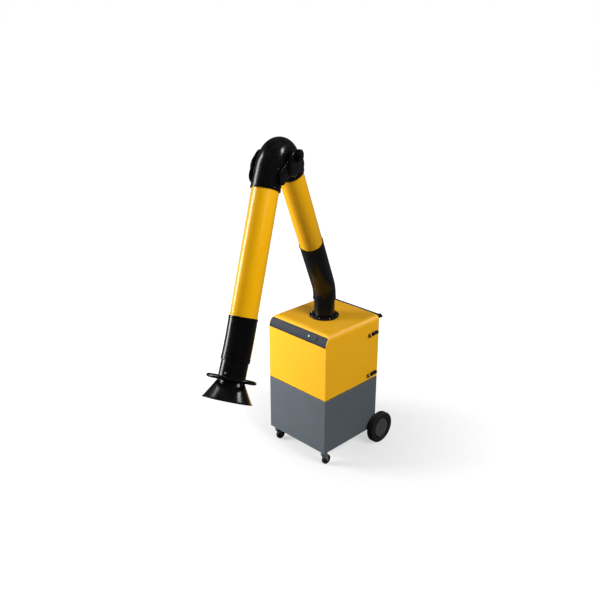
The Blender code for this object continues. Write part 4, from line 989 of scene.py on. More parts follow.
class EXTRACTOR_OT_casings(bpy.types.Operator):
    """Model the sheet casings, the rear cover and the control panel."""

    bl_idname = "extractor.casings"
    bl_label = "Casings"
    bl_options = {"REGISTER", "UNDO"}

    def execute(self, context):
        fold = context.scene.extractor_sizes.fold_radius
        self.add_yellow_sheets(fold / 2)
        self.add_panel(fold / 3)
        self.add_grey_sheet(fold)
        return {"FINISHED"}

    def add_yellow_sheets(self, soften):
        """The upper casing and the rear cover, which a seam parts."""
        below = UPPER_BOTTOM - SHEET
        upper = casing_shell("upper_casing_sheet")
        carve(upper, panel_window(0.0))
        carve(upper, box_shape((-1, COVER_FRONT, below), (1, 1, COVER_TOP)))
        carve(upper, bar_shape(ARM_HOLE, HEIGHT - 2 * SHEET, HEIGHT + SHEET, SMOOTH_SIDES))
        seat_piece(upper, YELLOW_PAINT, "upper_casing", soften)
        cover = casing_shell("rear_cover_sheet")
        room = box_shape((-1, COVER_FRONT + SEAM, below), (1, 1, COVER_TOP - SEAM))
        carve(cover, room, "INTERSECT")
        seat_piece(cover, YELLOW_PAINT, "rear_cover", soften)

    def add_panel(self, soften):
        """The control panel with its two holes, and a black gasket round it that paints the shade in
        its gap.
        """
        panel = casing_shell("control_panel_strip")
        carve(panel, panel_window(PANEL_GAP), "INTERSECT")
        for across, radius in ((BUTTON_ACROSS, BUTTON_HOLE), (LAMP_ACROSS, LAMP_HOLE)):
            hole = bar_shape(radius, -HOLE_REACH, HOLE_REACH, HOLE_SIDES)
            carve(panel, move_shape(hole, front_place(across)))
        seat_piece(panel, PANEL_FILM, "control_panel", soften)
        # Painted shade: a black band in the gap round the panel, dark where the gap would lie in
        # shade.
        shade_gasket = casing_shell("control_panel_gasket", SHADE_GASKET_DROP)
        carve(shade_gasket, panel_window(SEAM / 2), "INTERSECT")
        carve(shade_gasket, panel_window(PANEL_GAP - SHADE_GASKET_LAP))
        seat_piece(shade_gasket, BLACK_SATIN)

    def add_grey_sheet(self, fold):
        """The lower casing with its outlet, and a black seal on top of it that paints the shade of
        the seam.
        """
        inside = HALF - SHEET
        outer = HALF - SHEET / 2
        bottom, top = OUTLET_SPAN
        block = box_shape((-HALF, -HALF, 0), (HALF, HALF, LOWER_TOP), fold, 3)
        lower = shape_object("lower_casing_sheet", block)
        carve(lower, box_shape((-inside, -inside, SHEET), (inside, inside, LOWER_TOP + SHEET)))
        near = (-OUTLET_HALF, HALF - 2 * SHEET, bottom)
        carve(lower, box_shape(near, (OUTLET_HALF, HALF + SHEET, top)))
        seat_piece(lower, GREY_PAINT, "lower_casing", fold / 2)
        # Painted shade: a black band in the seam between the casings, dark as the seam's shade.
        low = (-outer, -outer, LOWER_TOP - SHADE_SEAL_LAP)
        block = box_shape(low, (outer, outer, UPPER_BOTTOM + SHADE_SEAL_LAP))
        shade_seal = shape_object("casing_seam_seal", block)
        carve(shade_seal, box_shape((-inside, -inside, 0), (inside, inside, HEIGHT)))
        seat_piece(shade_seal, BLACK_SATIN)


# Turned sections here and below: a point's radius, its height and, where it is round, its rounding

BUTTON_CAP = (
    (0.0082, 0.0039, 0.0012), (0.0082, -0.0098), (0.0, -0.0098), (0.0, 0.0030),
    (0.0050, 0.0031, 0.0010),
)
BUTTON_BEZEL = (
    (0.0165, 0.0012, 0.0008), (0.0165, -0.0018), (0.0088, -0.0018), (0.0088, 0.0022, 0.0006),
)
LAMP_LENS = (
    (0.0068, 0.0010, 0.0006), (0.0068, -0.0078), (0.0, -0.0078), (0.0, 0.0020),
    (0.0040, 0.0017, 0.0006),
)
LAMP_BEZEL = (
    (0.0094, 0.0014, 0.0005), (0.0094, -0.0006), (0.0074, -0.0006), (0.0074, 0.0014, 0.0004),
)


class EXTRACTOR_OT_panel_fittings(bpy.types.Operator):
    """Model the lamp and the push button with their bezels."""

    bl_idname = "extractor.panel_fittings"
    bl_label = "Panel fittings"
    bl_options = {"REGISTER", "UNDO"}

    def execute(self, context):
        for name, section, finish, body, across, node in (
            ("power_button_cap", BUTTON_CAP, BLACK_SATIN, "button", BUTTON_ACROSS, "power_button"),
            ("button_bezel", BUTTON_BEZEL, BLACK_SATIN, "cabinet", BUTTON_ACROSS, None),
            ("status_lamp_lens", LAMP_LENS, GREEN_LENS, "cabinet", LAMP_ACROSS, "status_lamp"),
            ("lamp_bezel", LAMP_BEZEL, BLACK_SATIN, "cabinet", LAMP_ACROSS, None),
        ):
            shape = turned_shape(section, FINE_SIDES)
            add_piece(name, shape, finish, body, front_place(across), node)
        return {"FINISHED"}


HANDLE_RADIUS = 0.0118
HANDLE_BEHIND = 0.036
BRACKET_INSET = 0.022
BRACKET_HALF = 0.011
BRACKET_REACH = 0.0138
BRACKET_SCREW = 0.0028
BRACKET_SCREW_BEHIND = 0.014
BRACKET_SCREW_LEVELS = (-0.009, 0.009)


class EXTRACTOR_OT_push_handle(bpy.types.Operator):
    """Model the push handle with its brackets and their screws."""

    bl_idname = "extractor.push_handle"
    bl_label = "Push handle"
    bl_options = {"REGISTER", "UNDO"}

    def execute(self, context):
        low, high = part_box("push_handle")
        height = (low.z + high.z) / 2
        behind = HALF + HANDLE_BEHIND
        screw_y = HALF + BRACKET_SCREW_BEHIND
        bar = bar_shape(HANDLE_RADIUS, low.x, high.x, FINE_SIDES, 0.003, 4)
        shapes = [move_shape(bar, shift(0, behind, height) @ ALONG_X)]
        screws = []
        for side in (-1, 1):
            middle = side * (high.x - BRACKET_INSET)
            near = (middle - BRACKET_HALF, low.y, low.z)
            far = (middle + BRACKET_HALF, behind + BRACKET_REACH, high.z)
            shapes.append(box_shape(near, far, 0.0045, 4))
            for level in BRACKET_SCREW_LEVELS:
                spot = shift(middle + side * BRACKET_HALF, screw_y, height + level)
                screws.append(screw_shape(BRACKET_SCREW, spot @ rotate(side * 90, "Y")))
        handle = join_shapes(*shapes)
        add_piece("push_handle_bar", handle, BLACK_PLASTIC, "cabinet", None, "push_handle")
        add_piece("push_handle_screws", join_shapes(*screws), ZINC_STEEL, "cabinet")
        return {"FINISHED"}


GRILLE_BORDER = 0.022
GRILLE_SCREW = 0.0032
GRILLE_SCREW_INSET = 0.010
SLAT_TILT = -38
SLAT_SINK = 0.003
SLAT_LAP = 0.001
SLAT_HALF = (0.0008, 0.0085)
INLET_SCREW = 0.0026
INLET_SCREW_INSET = 0.005
INLET_SCREW_SINK = 0.0002
INLET_WELL = (0.014, 0.012, 0.010)
INLET_PINS = ((-0.007, -0.002), (0.0, 0.003), (0.007, -0.002))
PIN_HALF = (0.001, 0.002)
PIN_ENDS = (0.013, 0.003)


class EXTRACTOR_OT_rear_fittings(bpy.types.Operator):
    """Model the outlet grille and the mains inlet."""

    bl_idname = "extractor.rear_fittings"
    bl_label = "Rear fittings"
    bl_options = {"REGISTER", "UNDO"}

    def execute(self, context):
        screws = self.add_grille(context.scene.extractor_sizes.louvres)
        screws += self.add_inlet()
        add_piece("rear_fitting_screws", join_shapes(*screws), ZINC_STEEL, "cabinet")
        return {"FINISHED"}

    def add_grille(self, count):
        """The outlet's frame and its tilted slats; the screws are returned."""
        low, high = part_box("outlet_grille")
        left = low.x + GRILLE_BORDER
        right = high.x - GRILLE_BORDER
        bottom = low.z + GRILLE_BORDER
        grille = shape_object("outlet_grille_frame", box_shape(low, high, 0.0012, 2))
        far = (right, high.y + CUT_PAST, high.z - GRILLE_BORDER)
        carve(grille, box_shape((left, low.y - CUT_PAST, bottom), far))
        pitch = (high.z - low.z - 2 * GRILLE_BORDER) / count
        thick, tall = SLAT_HALF
        near = (left - SLAT_LAP, -thick, -tall)
        far = (right + SLAT_LAP, thick, tall)
        slats = []
        for step in range(count):
            slat = box_shape(near, far, 0.0004, 1)
            spot = shift(0, (low.y + high.y) / 2 - SLAT_SINK, bottom + pitch * (step + 0.5))
            slats.append(move_shape(slat, spot @ rotate(SLAT_TILT, "X")))
        seat_piece(grille, GREY_PAINT, "outlet_grille", 0.0004)
        add_piece("outlet_louvres", join_shapes(*slats), GREY_PAINT, "cabinet")
        return [
            screw_shape(GRILLE_SCREW, shift(x, high.y, z) @ ALONG_Y)
            for x in (low.x + GRILLE_SCREW_INSET, high.x - GRILLE_SCREW_INSET)
            for z in (low.z + GRILLE_SCREW_INSET, high.z - GRILLE_SCREW_INSET)
        ]

    def add_inlet(self):
        """The mains inlet with its pins; the screws are returned."""
        low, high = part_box("mains_inlet")
        middle = (low + high) / 2
        inlet = shape_object("mains_inlet_body", box_shape(low, high, 0.0022, 3))
        wide, deep, tall = INLET_WELL
        near = (middle.x - wide, high.y - deep, middle.z - tall)
        far = (middle.x + wide, high.y + CUT_PAST, middle.z + tall)
        carve(inlet, box_shape(near, far, 0.002, 2))
        seat_piece(inlet, BLACK_SATIN, "mains_inlet")
        wide, tall = PIN_HALF
        back, front = PIN_ENDS
        pins = []
        for x, z in INLET_PINS:
            near = (middle.x + x - wide, high.y - back, middle.z + z - tall)
            far = (middle.x + x + wide, high.y - front, middle.z + z + tall)
            pins.append(box_shape(near, far, 0.0004, 1))
        add_piece("mains_inlet_pins", join_shapes(*pins), ZINC_STEEL, "cabinet")
        return [
            screw_shape(INLET_SCREW, shift(x, high.y - INLET_SCREW_SINK, middle.z) @ ALONG_Y)
            for x in (low.x + INLET_SCREW_INSET, high.x - INLET_SCREW_INSET)
        ]


LATCH_PIVOT = (0.3085, 0.222)
LATCH_PLATE = ((-0.0082, -0.0058, -0.0168), (-0.0068, 0.0598, 0.0168))
LATCH_EAR = ((0.0022, 0, 0.0058), (0, 0, 0.0058))
LATCH_EAR_HALF = 0.001
LATCH_EAR_PLACE = (-0.0030, 0.0113)
LATCH_PIN = (0.0019, -0.0122, 0.0122)
KEEPER_GROOVE = 0.0022
LATCH_GRIP = ((-0.0042, -0.0044, -0.0099), (0.0042, 0.0658, 0.0099))
GRIP_RIDGES = (0.046, 0.050, 0.054, 0.058)
WIRE_RADIUS = 0.0015
WIRE_PATH = (
    (0, 0.014, 0.0103), (0, 0.014, 0.0153), (0, -0.0475, 0.0153),
    (0, -0.0475, -0.0153), (0, 0.014, -0.0153), (0, 0.014, -0.0103),
)


class EXTRACTOR_OT_latches(bpy.types.Operator):
    """Model the draw latches across the cover seam."""

    bl_idname = "extractor.latches"
    bl_label = "Draw latches"
    bl_options = {"REGISTER", "UNDO"}

    def execute(self, context):
        for name in ("upper", "lower"):
            low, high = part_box("latch_lever_" + name)
            height = (low.z + high.z) / 2
            place = shift(*LATCH_PIVOT, height)
            lever = "lever_" + name
            bail = "bail_" + name
            for piece, shape, finish, body, node in (
                ("latch_base_plate_", self.base_shape(), LATCH_STEEL, "cabinet", "latch_base_"),
                ("latch_grip_", self.grip_shape(), BLACK_PLASTIC, lever, "latch_lever_"),
                ("latch_wire_", self.wire_shape(), LATCH_STEEL, bail, "latch_bail_"),
            ):
                add_piece(piece + name, shape, finish, body, place, node + name)
            low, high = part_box("latch_keeper_" + name)
            keeper = shape_object("latch_hook_" + name, box_shape(low, high, 0.0012, 3))
            groove = bar_shape(KEEPER_GROOVE, -HOLE_REACH, HOLE_REACH, SMALL_SIDES)
            carve(keeper, move_shape(groove, shift(LATCH_PIVOT[0], low.y - 0.0005, height)))
            seat_piece(keeper, LATCH_STEEL, "latch_keeper_" + name, 0.0003)
        return {"FINISHED"}

    def base_shape(self):
        """The plate with the two ears that hold the lever."""
        back, apart = LATCH_EAR_PLACE
        shapes = [box_shape(*LATCH_PLATE, 0.0006, 2)]
        for side in (-1, 1):
            ear = link_shape(LATCH_EAR, -LATCH_EAR_HALF, LATCH_EAR_HALF, 0.0004, SMALL_SIDES, 2)
            shapes.append(move_shape(ear, shift(back, 0, side * apart) @ ALONG_X))
        return join_shapes(*shapes)

    def grip_shape(self):
        """The lever with its grip ridges and its pin."""
        ridges = [
            box_shape((0.0040, y - 0.0008, -0.0075), (0.0046, y + 0.0008, 0.0075), 0.0003, 1)
            for y in GRIP_RIDGES
        ]
        pin = bar_shape(*LATCH_PIN, 20, 0.0004)
        return join_shapes(box_shape(*LATCH_GRIP, 0.0020, 4), *ridges, pin)

    def wire_shape(self):
        """The bent wire loop, grown as a skin round its path."""
        shape = bmesh.new()
        verts = [shape.verts.new(point) for point in WIRE_PATH]
        for first, second in zip(verts, verts[1:]):
            shape.edges.new((first, second))
        wire = shape_object("wire", shape)
        skin = wire.modifiers.new("round wire", "SKIN")
        skin.use_smooth_shade = True
        for vert in wire.data.skin_vertices[0].data:
            vert.radius = (WIRE_RADIUS, WIRE_RADIUS)
        smooth = wire.modifiers.new("smooth wire", "SUBSURF")
        smooth.levels = 2
        smooth.render_levels = 2
        return take_shape(wire)


# Wheels, whose plates lie between the foot levels under the casing

FOOT_LEVELS = (-0.0043, -0.0003)
TYRE_WALL = (
    (0.0851, 0.0108), (0.0866, 0.0272, 0.0010), (0.0892, 0.0293, 0.0012),
    (0.0990, 0.0298, 0.0010), (0.1008, 0.0288, 0.0008), (0.1040, 0.0288, 0.0008),
    (0.1058, 0.0297, 0.0010), (0.1195, 0.0284, 0.0040), (0.1284, 0.0220, 0.0045),
)
TREAD_HALF = 0.0180
TREAD_GROOVE = ((0.1291, 0.0022), (0.1262, 0.0014), (0.1262, -0.0014), (0.1291, -0.0022))
TREAD_CUT = ((0.1236, -0.0024, 0.0145), (0.1330, 0.0024, 0.0320))
WHEEL_DISC = (
    (0.0847, 0.0106, 0.0006), (0.0847, -0.0294), (0.0790, -0.0294), (0.0790, 0.0050),
    (0.0690, 0.0050), (0.0690, 0.0162), (0.0260, 0.0162, 0.0020), (0.0260, -0.0338, 0.0008),
    (0.0105, -0.0338), (0.0105, 0.0229), (0.0180, 0.0229, 0.0008), (0.0200, 0.0220, 0.0008),
    (0.0690, 0.0232, 0.0020), (0.0742, 0.0252, 0.0016), (0.0768, 0.0236, 0.0012),
    (0.0776, 0.0106),
)
WHEEL_CAP = ((0.0, 0.0262), (0.0110, 0.0256, 0.003), (0.0150, 0.0234, 0.0006), (0.0, 0.0232))
AXLE_RADIUS = 0.0098
CARRIER_EYE = 0.0208
CARRIER_ROOT = (0.066, -0.0080, 0.0135)
CARRIER_FOOT = (0.010, 0.088, 0.004)


class EXTRACTOR_OT_rear_wheels(bpy.types.Operator):
    """Model the tyres, hubs, axle and axle brackets."""

    bl_idname = "extractor.rear_wheels"
    bl_label = "Rear wheels"
    bl_options = {"REGISTER", "UNDO"}

    def execute(self, context):
        sizes = context.scene.extractor_sizes
        axle_low, axle_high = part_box("wheel_axle")
        axle = (axle_low + axle_high) / 2
        for side, name in ((-1, "left"), (1, "right")):
            low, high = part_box("rear_tyre_" + name)
            place = Matrix.Translation((low + high) / 2) @ rotate(side * 90, "Y")
            body = "rear_wheel_" + name
            shape = move_shape(self.tyre_shape(sizes.tread_grooves), place)
            tyre = shape_object("rear_tyre_tread_" + name, shape)
            carve(tyre, move_shape(self.tread_cuts(sizes.tread_blocks), place))
            seat_piece(tyre, TYRE_RUBBER, "rear_tyre_" + name, body=body)
            disc = turned_shape(WHEEL_DISC)
            node = "rear_hub_" + name
            add_piece("rear_wheel_disc_" + name, disc, HUB_PLASTIC, body, place, node)
            cap = turned_shape(WHEEL_CAP, FINE_SIDES)
            add_piece("rear_wheel_cap_" + name, cap, HUB_PLASTIC, body, place)
            node = "axle_bracket_" + name
            carrier = self.carrier_shape(node, axle)
            add_piece("axle_carrier_" + name, carrier, GREY_PAINT, "cabinet", None, node)
        shaft = bar_shape(AXLE_RADIUS, axle_low.x, axle_high.x, FINE_SIDES, 0.0012, 3)
        place = shift(0, axle.y, axle.z) @ ALONG_X
        add_piece("wheel_axle_shaft", shaft, ZINC_STEEL, "cabinet", place, "wheel_axle")
        return {"FINISHED"}

    def tyre_shape(self, grooves):
        """A tyre with round shoulders, a ring on its wall and grooves round the tread."""
        tread = []
        for step in range(grooves):
            centre = TREAD_HALF - 2 * TREAD_HALF * (step + 0.5) / grooves
            tread += [(radius, centre + reach) for radius, reach in TREAD_GROOVE]
        inside = [(point[0], -point[1], *point[2:]) for point in reversed(TYRE_WALL)]
        return turned_shape([*TYRE_WALL, *tread, *inside])

    def tread_cuts(self, blocks):
        """The cuts across both edges of the tread, which part its blocks."""
        cuts = []
        for step in range(blocks):
            for edge in (0.0, 0.5):
                around = rotate(360 * (step + edge) / blocks, "Z") @ rotate(360 * edge, "X")
                cuts.append(move_shape(box_shape(*TREAD_CUT), around))
        return join_shapes(*cuts)

    def carrier_shape(self, node, axle):
        """An axle bracket: a plate round the axle and a foot under the casing."""
        low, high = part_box(node)
        ahead, level, radius = CARRIER_ROOT
        circles = ((axle.y, axle.z, CARRIER_EYE), (axle.y - ahead, level, radius))
        plate = link_shape(circles, low.x, high.x, 0.0010, FINE_SIDES, 2)
        aside, ahead, inset = CARRIER_FOOT
        bottom, top = FOOT_LEVELS
        near = (low.x - aside, axle.y - ahead, bottom)
        foot = box_shape(near, (high.x + aside, HALF - inset, top), 0.0008, 2)
        return join_shapes(plate, foot)


CASTOR_PLATE = ((-0.035, -0.035, FOOT_LEVELS[0]), (0.035, 0.035, FOOT_LEVELS[1]))
CASTOR_BOLT = (0.0042, 0.0040)
CASTOR_BOLT_PLACES = (-0.026, 0.026)
CASTOR_AXLE = (0.0039, -0.0186, 0.0186)
CASTOR_NUT = (0.0066, 0.0183, 0.0188)
CASTOR_HEAD = (
    (0.0268, -0.0060, 0.002), (0.0268, -0.0300, 0.003), (0.0, -0.0302), (0.0, -0.0030),
    (0.0240, -0.0030),
)
CASTOR_BEAD = (
    (0.0272, -0.0165, 0.0008), (0.0272, -0.0195, 0.0008), (0.0255, -0.0195), (0.0255, -0.0165),
)
CASTOR_CROWN = (
    (0.0268, -0.0306, 0.0014), (0.0268, -0.0345, 0.0010), (0.0, -0.0345), (0.0, -0.0306),
)
CASTOR_TREAD = (
    (0.0394, 0.0090, 0.004), (0.0394, -0.0090, 0.004), (0.0358, -0.0138, 0.002),
    (0.0300, -0.0138), (0.0300, 0.0138), (0.0358, 0.0138, 0.002),
)
CASTOR_CORE = (
    (0.0301, 0.0134, 0.001), (0.0301, -0.0134, 0.001), (0.0260, -0.0134, 0.001),
    (0.0230, -0.0090, 0.002), (0.0110, -0.0090, 0.001), (0.0095, -0.0138), (0.0045, -0.0138),
    (0.0045, 0.0138), (0.0095, 0.0138), (0.0110, 0.0090, 0.001), (0.0230, 0.0090, 0.002),
    (0.0260, 0.0134, 0.001),
)
FORK_HALF = 0.0170
FORK_SHEET_HALF = 0.0015
FORK_TOP = ((-0.0188, -0.0358, 0.0030), (0.0188, -0.0358, 0.0030))
FORK_EYE = 0.0108


class EXTRACTOR_OT_castors(bpy.types.Operator):
    """Model the swivel castors."""

    bl_idname = "extractor.castors"
    bl_label = "Castors"
    bl_options = {"REGISTER", "UNDO"}

    def execute(self, context):
        for name in ("left", "right"):
            low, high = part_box("castor_plate_" + name)
            middle = (low + high) / 2
            swivel = shift(middle.x, middle.y, 0)
            low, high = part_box("castor_wheel_" + name)
            wheel = (low + high) / 2
            axle = Matrix.Translation(wheel) @ ALONG_X
            fork = self.fork_shape(wheel.y - middle.y, wheel.z)
            tread = turned_shape(CASTOR_TREAD)
            core = turned_shape(CASTOR_CORE, FINE_SIDES)
            top = self.plate_shape()
            fixed = "castor_plate_" + name
            turning = "castor_fork_" + name
            rolling = "castor_wheel_" + name
            for piece, shape, finish, body, place, node in (
                ("castor_top_plate_", top, ZINC_STEEL, "cabinet", swivel, fixed),
                ("castor_bolts_", self.bolt_shapes(), ZINC_STEEL, "cabinet", swivel, None),
                ("castor_fork_sheet_", fork, GREY_PAINT, turning, swivel, turning),
                ("castor_axle_", self.axle_shape(), ZINC_STEEL, turning, axle, None),
                ("castor_tread_", tread, TYRE_RUBBER, rolling, axle, rolling),
                ("castor_core_", core, BLACK_SATIN, rolling, axle, None),
            ):
                add_piece(piece + name, shape, finish, body, place, node)
        return {"FINISHED"}

    def plate_shape(self):
        """The top plate with the swivel head and its bead."""
        return join_shapes(
            box_shape(*CASTOR_PLATE, 0.0010, 2),
            turned_shape(CASTOR_HEAD, FINE_SIDES),
            turned_shape(CASTOR_BEAD, FINE_SIDES),
        )

    def bolt_shapes(self):
        """The four bolts under the plate's corners."""
        bolts = [
            bolt_shape(*CASTOR_BOLT, shift(x, y, FOOT_LEVELS[0]) @ rotate(180, "X"))
            for x in CASTOR_BOLT_PLACES
            for y in CASTOR_BOLT_PLACES
        ]
        return join_shapes(*bolts)

    def fork_shape(self, trail, drop):
        """The crown with two legs that reach the wheel's axle."""
        shapes = [turned_shape(CASTOR_CROWN, FINE_SIDES)]
        circles = (*FORK_TOP, (trail, drop, FORK_EYE))
        for side in (-1, 1):
            leg = link_shape(circles, -FORK_SHEET_HALF, FORK_SHEET_HALF, 0.0009, FINE_SIDES, 2)
            shapes.append(move_shape(leg, shift(side * FORK_HALF, 0, 0)))
        return join_shapes(*shapes)

    def axle_shape(self):
        """The axle with a nut at each end."""
        radius, inner, outer = CASTOR_NUT
        return join_shapes(
            bar_shape(*CASTOR_AXLE, SMALL_SIDES, 0.0005),
            bar_shape(radius, inner, outer, HEXAGON),
            bar_shape(radius, -outer, -inner, HEXAGON),
        )


# Arm

ARM_FLANGE = (
    (0.1128, 0.0120, 0.0022), (0.1128, 0.0003, 0.0006), (0.0905, 0.0003), (0.0905, -0.0100),
    (0.0801, -0.0100), (0.0801, 0.0120, 0.0015),
)
FLANGE_BOLT = (0.0048, 0.0055)
FLANGE_BOLT_PLACE = (0.1010, 0, 0.0120)
SWIVEL_COLLAR = (
    (0.0830, 0.1503, 0.0006), (0.0830, 0.1412), (0.0789, 0.1405), (0.0789, 0.0330, 0.0010),
    (0.0808, 0.0315, 0.0008), (0.0808, 0.0260, 0.0008), (0.0789, 0.0245, 0.0010),
    (0.0789, 0.0186), (0.0838, 0.0183, 0.0014), (0.0838, 0.0124, 0.0006), (0.0789, 0.0124),
    (0.0789, -0.0104), (0.0868, -0.0104), (0.0868, -0.0172, 0.0008), (0.0746, -0.0172),
    (0.0746, 0.1503),
)
SHOULDER_RINGS = (2, 14, 16)
SHOULDER_BANDS = (0.1480, 0.5170)


class EXTRACTOR_OT_arm_foot(bpy.types.Operator):
    """Model the arm flange, its bolts, the swivel collar and the shoulder hose."""

    bl_idname = "extractor.arm_foot"
    bl_label = "Arm foot"
    bl_options = {"REGISTER", "UNDO"}

    def execute(self, context):
        count = context.scene.extractor_sizes.flange_bolts
        top = shift(0, 0, HEIGHT)
        flange = turned_shape(ARM_FLANGE)
        add_piece("arm_flange_ring", flange, BLACK_PLASTIC, "cabinet", top, "arm_flange")
        bolts = [
            bolt_shape(
                *FLANGE_BOLT, rotate(360 * (step + 0.5) / count, "Z") @ shift(*FLANGE_BOLT_PLACE)
            )
            for step in range(count)
        ]
        add_piece("arm_flange_bolts", join_shapes(*bolts), ZINC_STEEL, "cabinet", top)
        collar = turned_shape(SWIVEL_COLLAR)
        add_piece("swivel_collar_sleeve", collar, BLACK_PLASTIC, "arm_base", TURN, "swivel_collar")
        self.add_shoulder_hose()
        return {"FINISHED"}

    def add_shoulder_hose(self):
        """The hose round the shoulder joint and its two bands."""
        foot, end = SHOULDER_HOSE
        tilt = math.radians(LOWER_TILT)
        add_hose(
            "shoulder_hose_sleeve",
            hose_shape(
                HOSE_RADIUS,
                SHOULDER_RISE - SHOULDER_BEND - foot,
                SHOULDER_BEND / math.tan(tilt / 2),
                tilt,
                end - SHOULDER_BEND,
                SHOULDER_RINGS,
            ),
            TURN @ shift(0, 0, foot),
            "shoulder_hose",
        )
        foot, end = (band_shape(station) for station in SHOULDER_BANDS)
        add_piece("shoulder_hose_foot_band", foot, BLACK_PLASTIC, "arm_base", TURN)
        add_piece("shoulder_hose_tube_band", end, BLACK_PLASTIC, "lower_arm", SHOULDER)


class EXTRACTOR_OT_arm_tubes(bpy.types.Operator):
    """Model the two painted arm tubes."""

    bl_idname = "extractor.arm_tubes"
    bl_label = "Arm tubes"
    bl_options = {"REGISTER", "UNDO"}

    def execute(self, context):
        edge = 0.0006
        for node, body, place, (first, last) in (
            ("lower_tube", "lower_arm", SHOULDER, LOWER_TUBE),
            ("front_tube", "upper_arm", FRONT, (-FRONT_TUBE[0], -FRONT_TUBE[1])),
        ):
            pipe = turned_shape(
                [
                    (TUBE_RADIUS, last, edge),
                    (TUBE_RADIUS, first, edge),
                    (TUBE_BORE, first),
                    (TUBE_BORE, last),
                ]
            )
            add_piece(node + "_pipe", pipe, TUBE_LACQUER, body, place, node)
        return {"FINISHED"}


LOWER_COLLAR_END = 0.180
UPPER_COLLAR_END = 0.197
COLLAR_TOP = 0.0722
COLLAR_STEP = 0.1122
COLLAR_SEAT = 0.0834
EAR_RADIUS = 0.0548
EAR_FOOT_RADIUS = 0.0478
EAR_ROOT_RADIUS = 0.0465
EAR_SIDES = 64
ELBOW_RINGS = (3, 44, 3)
HUB_POD = ((-0.045, -0.048, 0.0600), (0, 0, 0.0698))
HUB_POD_DEPTH = 0.0280
HUB_DISC = (
    (0.0798, 0.0, 0.0006), (0.0798, 0.0120, 0.0060), (0.0660, 0.0197, 0.0100), (0.0, 0.0199),
    (0.0, 0.0),
)
EAR_BOLT = (0.0050, 0.0050)
EAR_BOLT_PLACES = ((-0.1060, -0.0830), (-0.1180, -0.1330))
KNOB_RADIUS = 0.0395
KNOB_DEPTH = 0.0285
KNOB_ROUNDING = 0.0140
KNOB_LOBES = 8
KNOB_WAVE = 0.03
KNOB_CENTRE = ((0.0170, 0.0275), (0.0160, 0.0296, 0.0012), (0.0, 0.0299), (0.0, 0.0275))


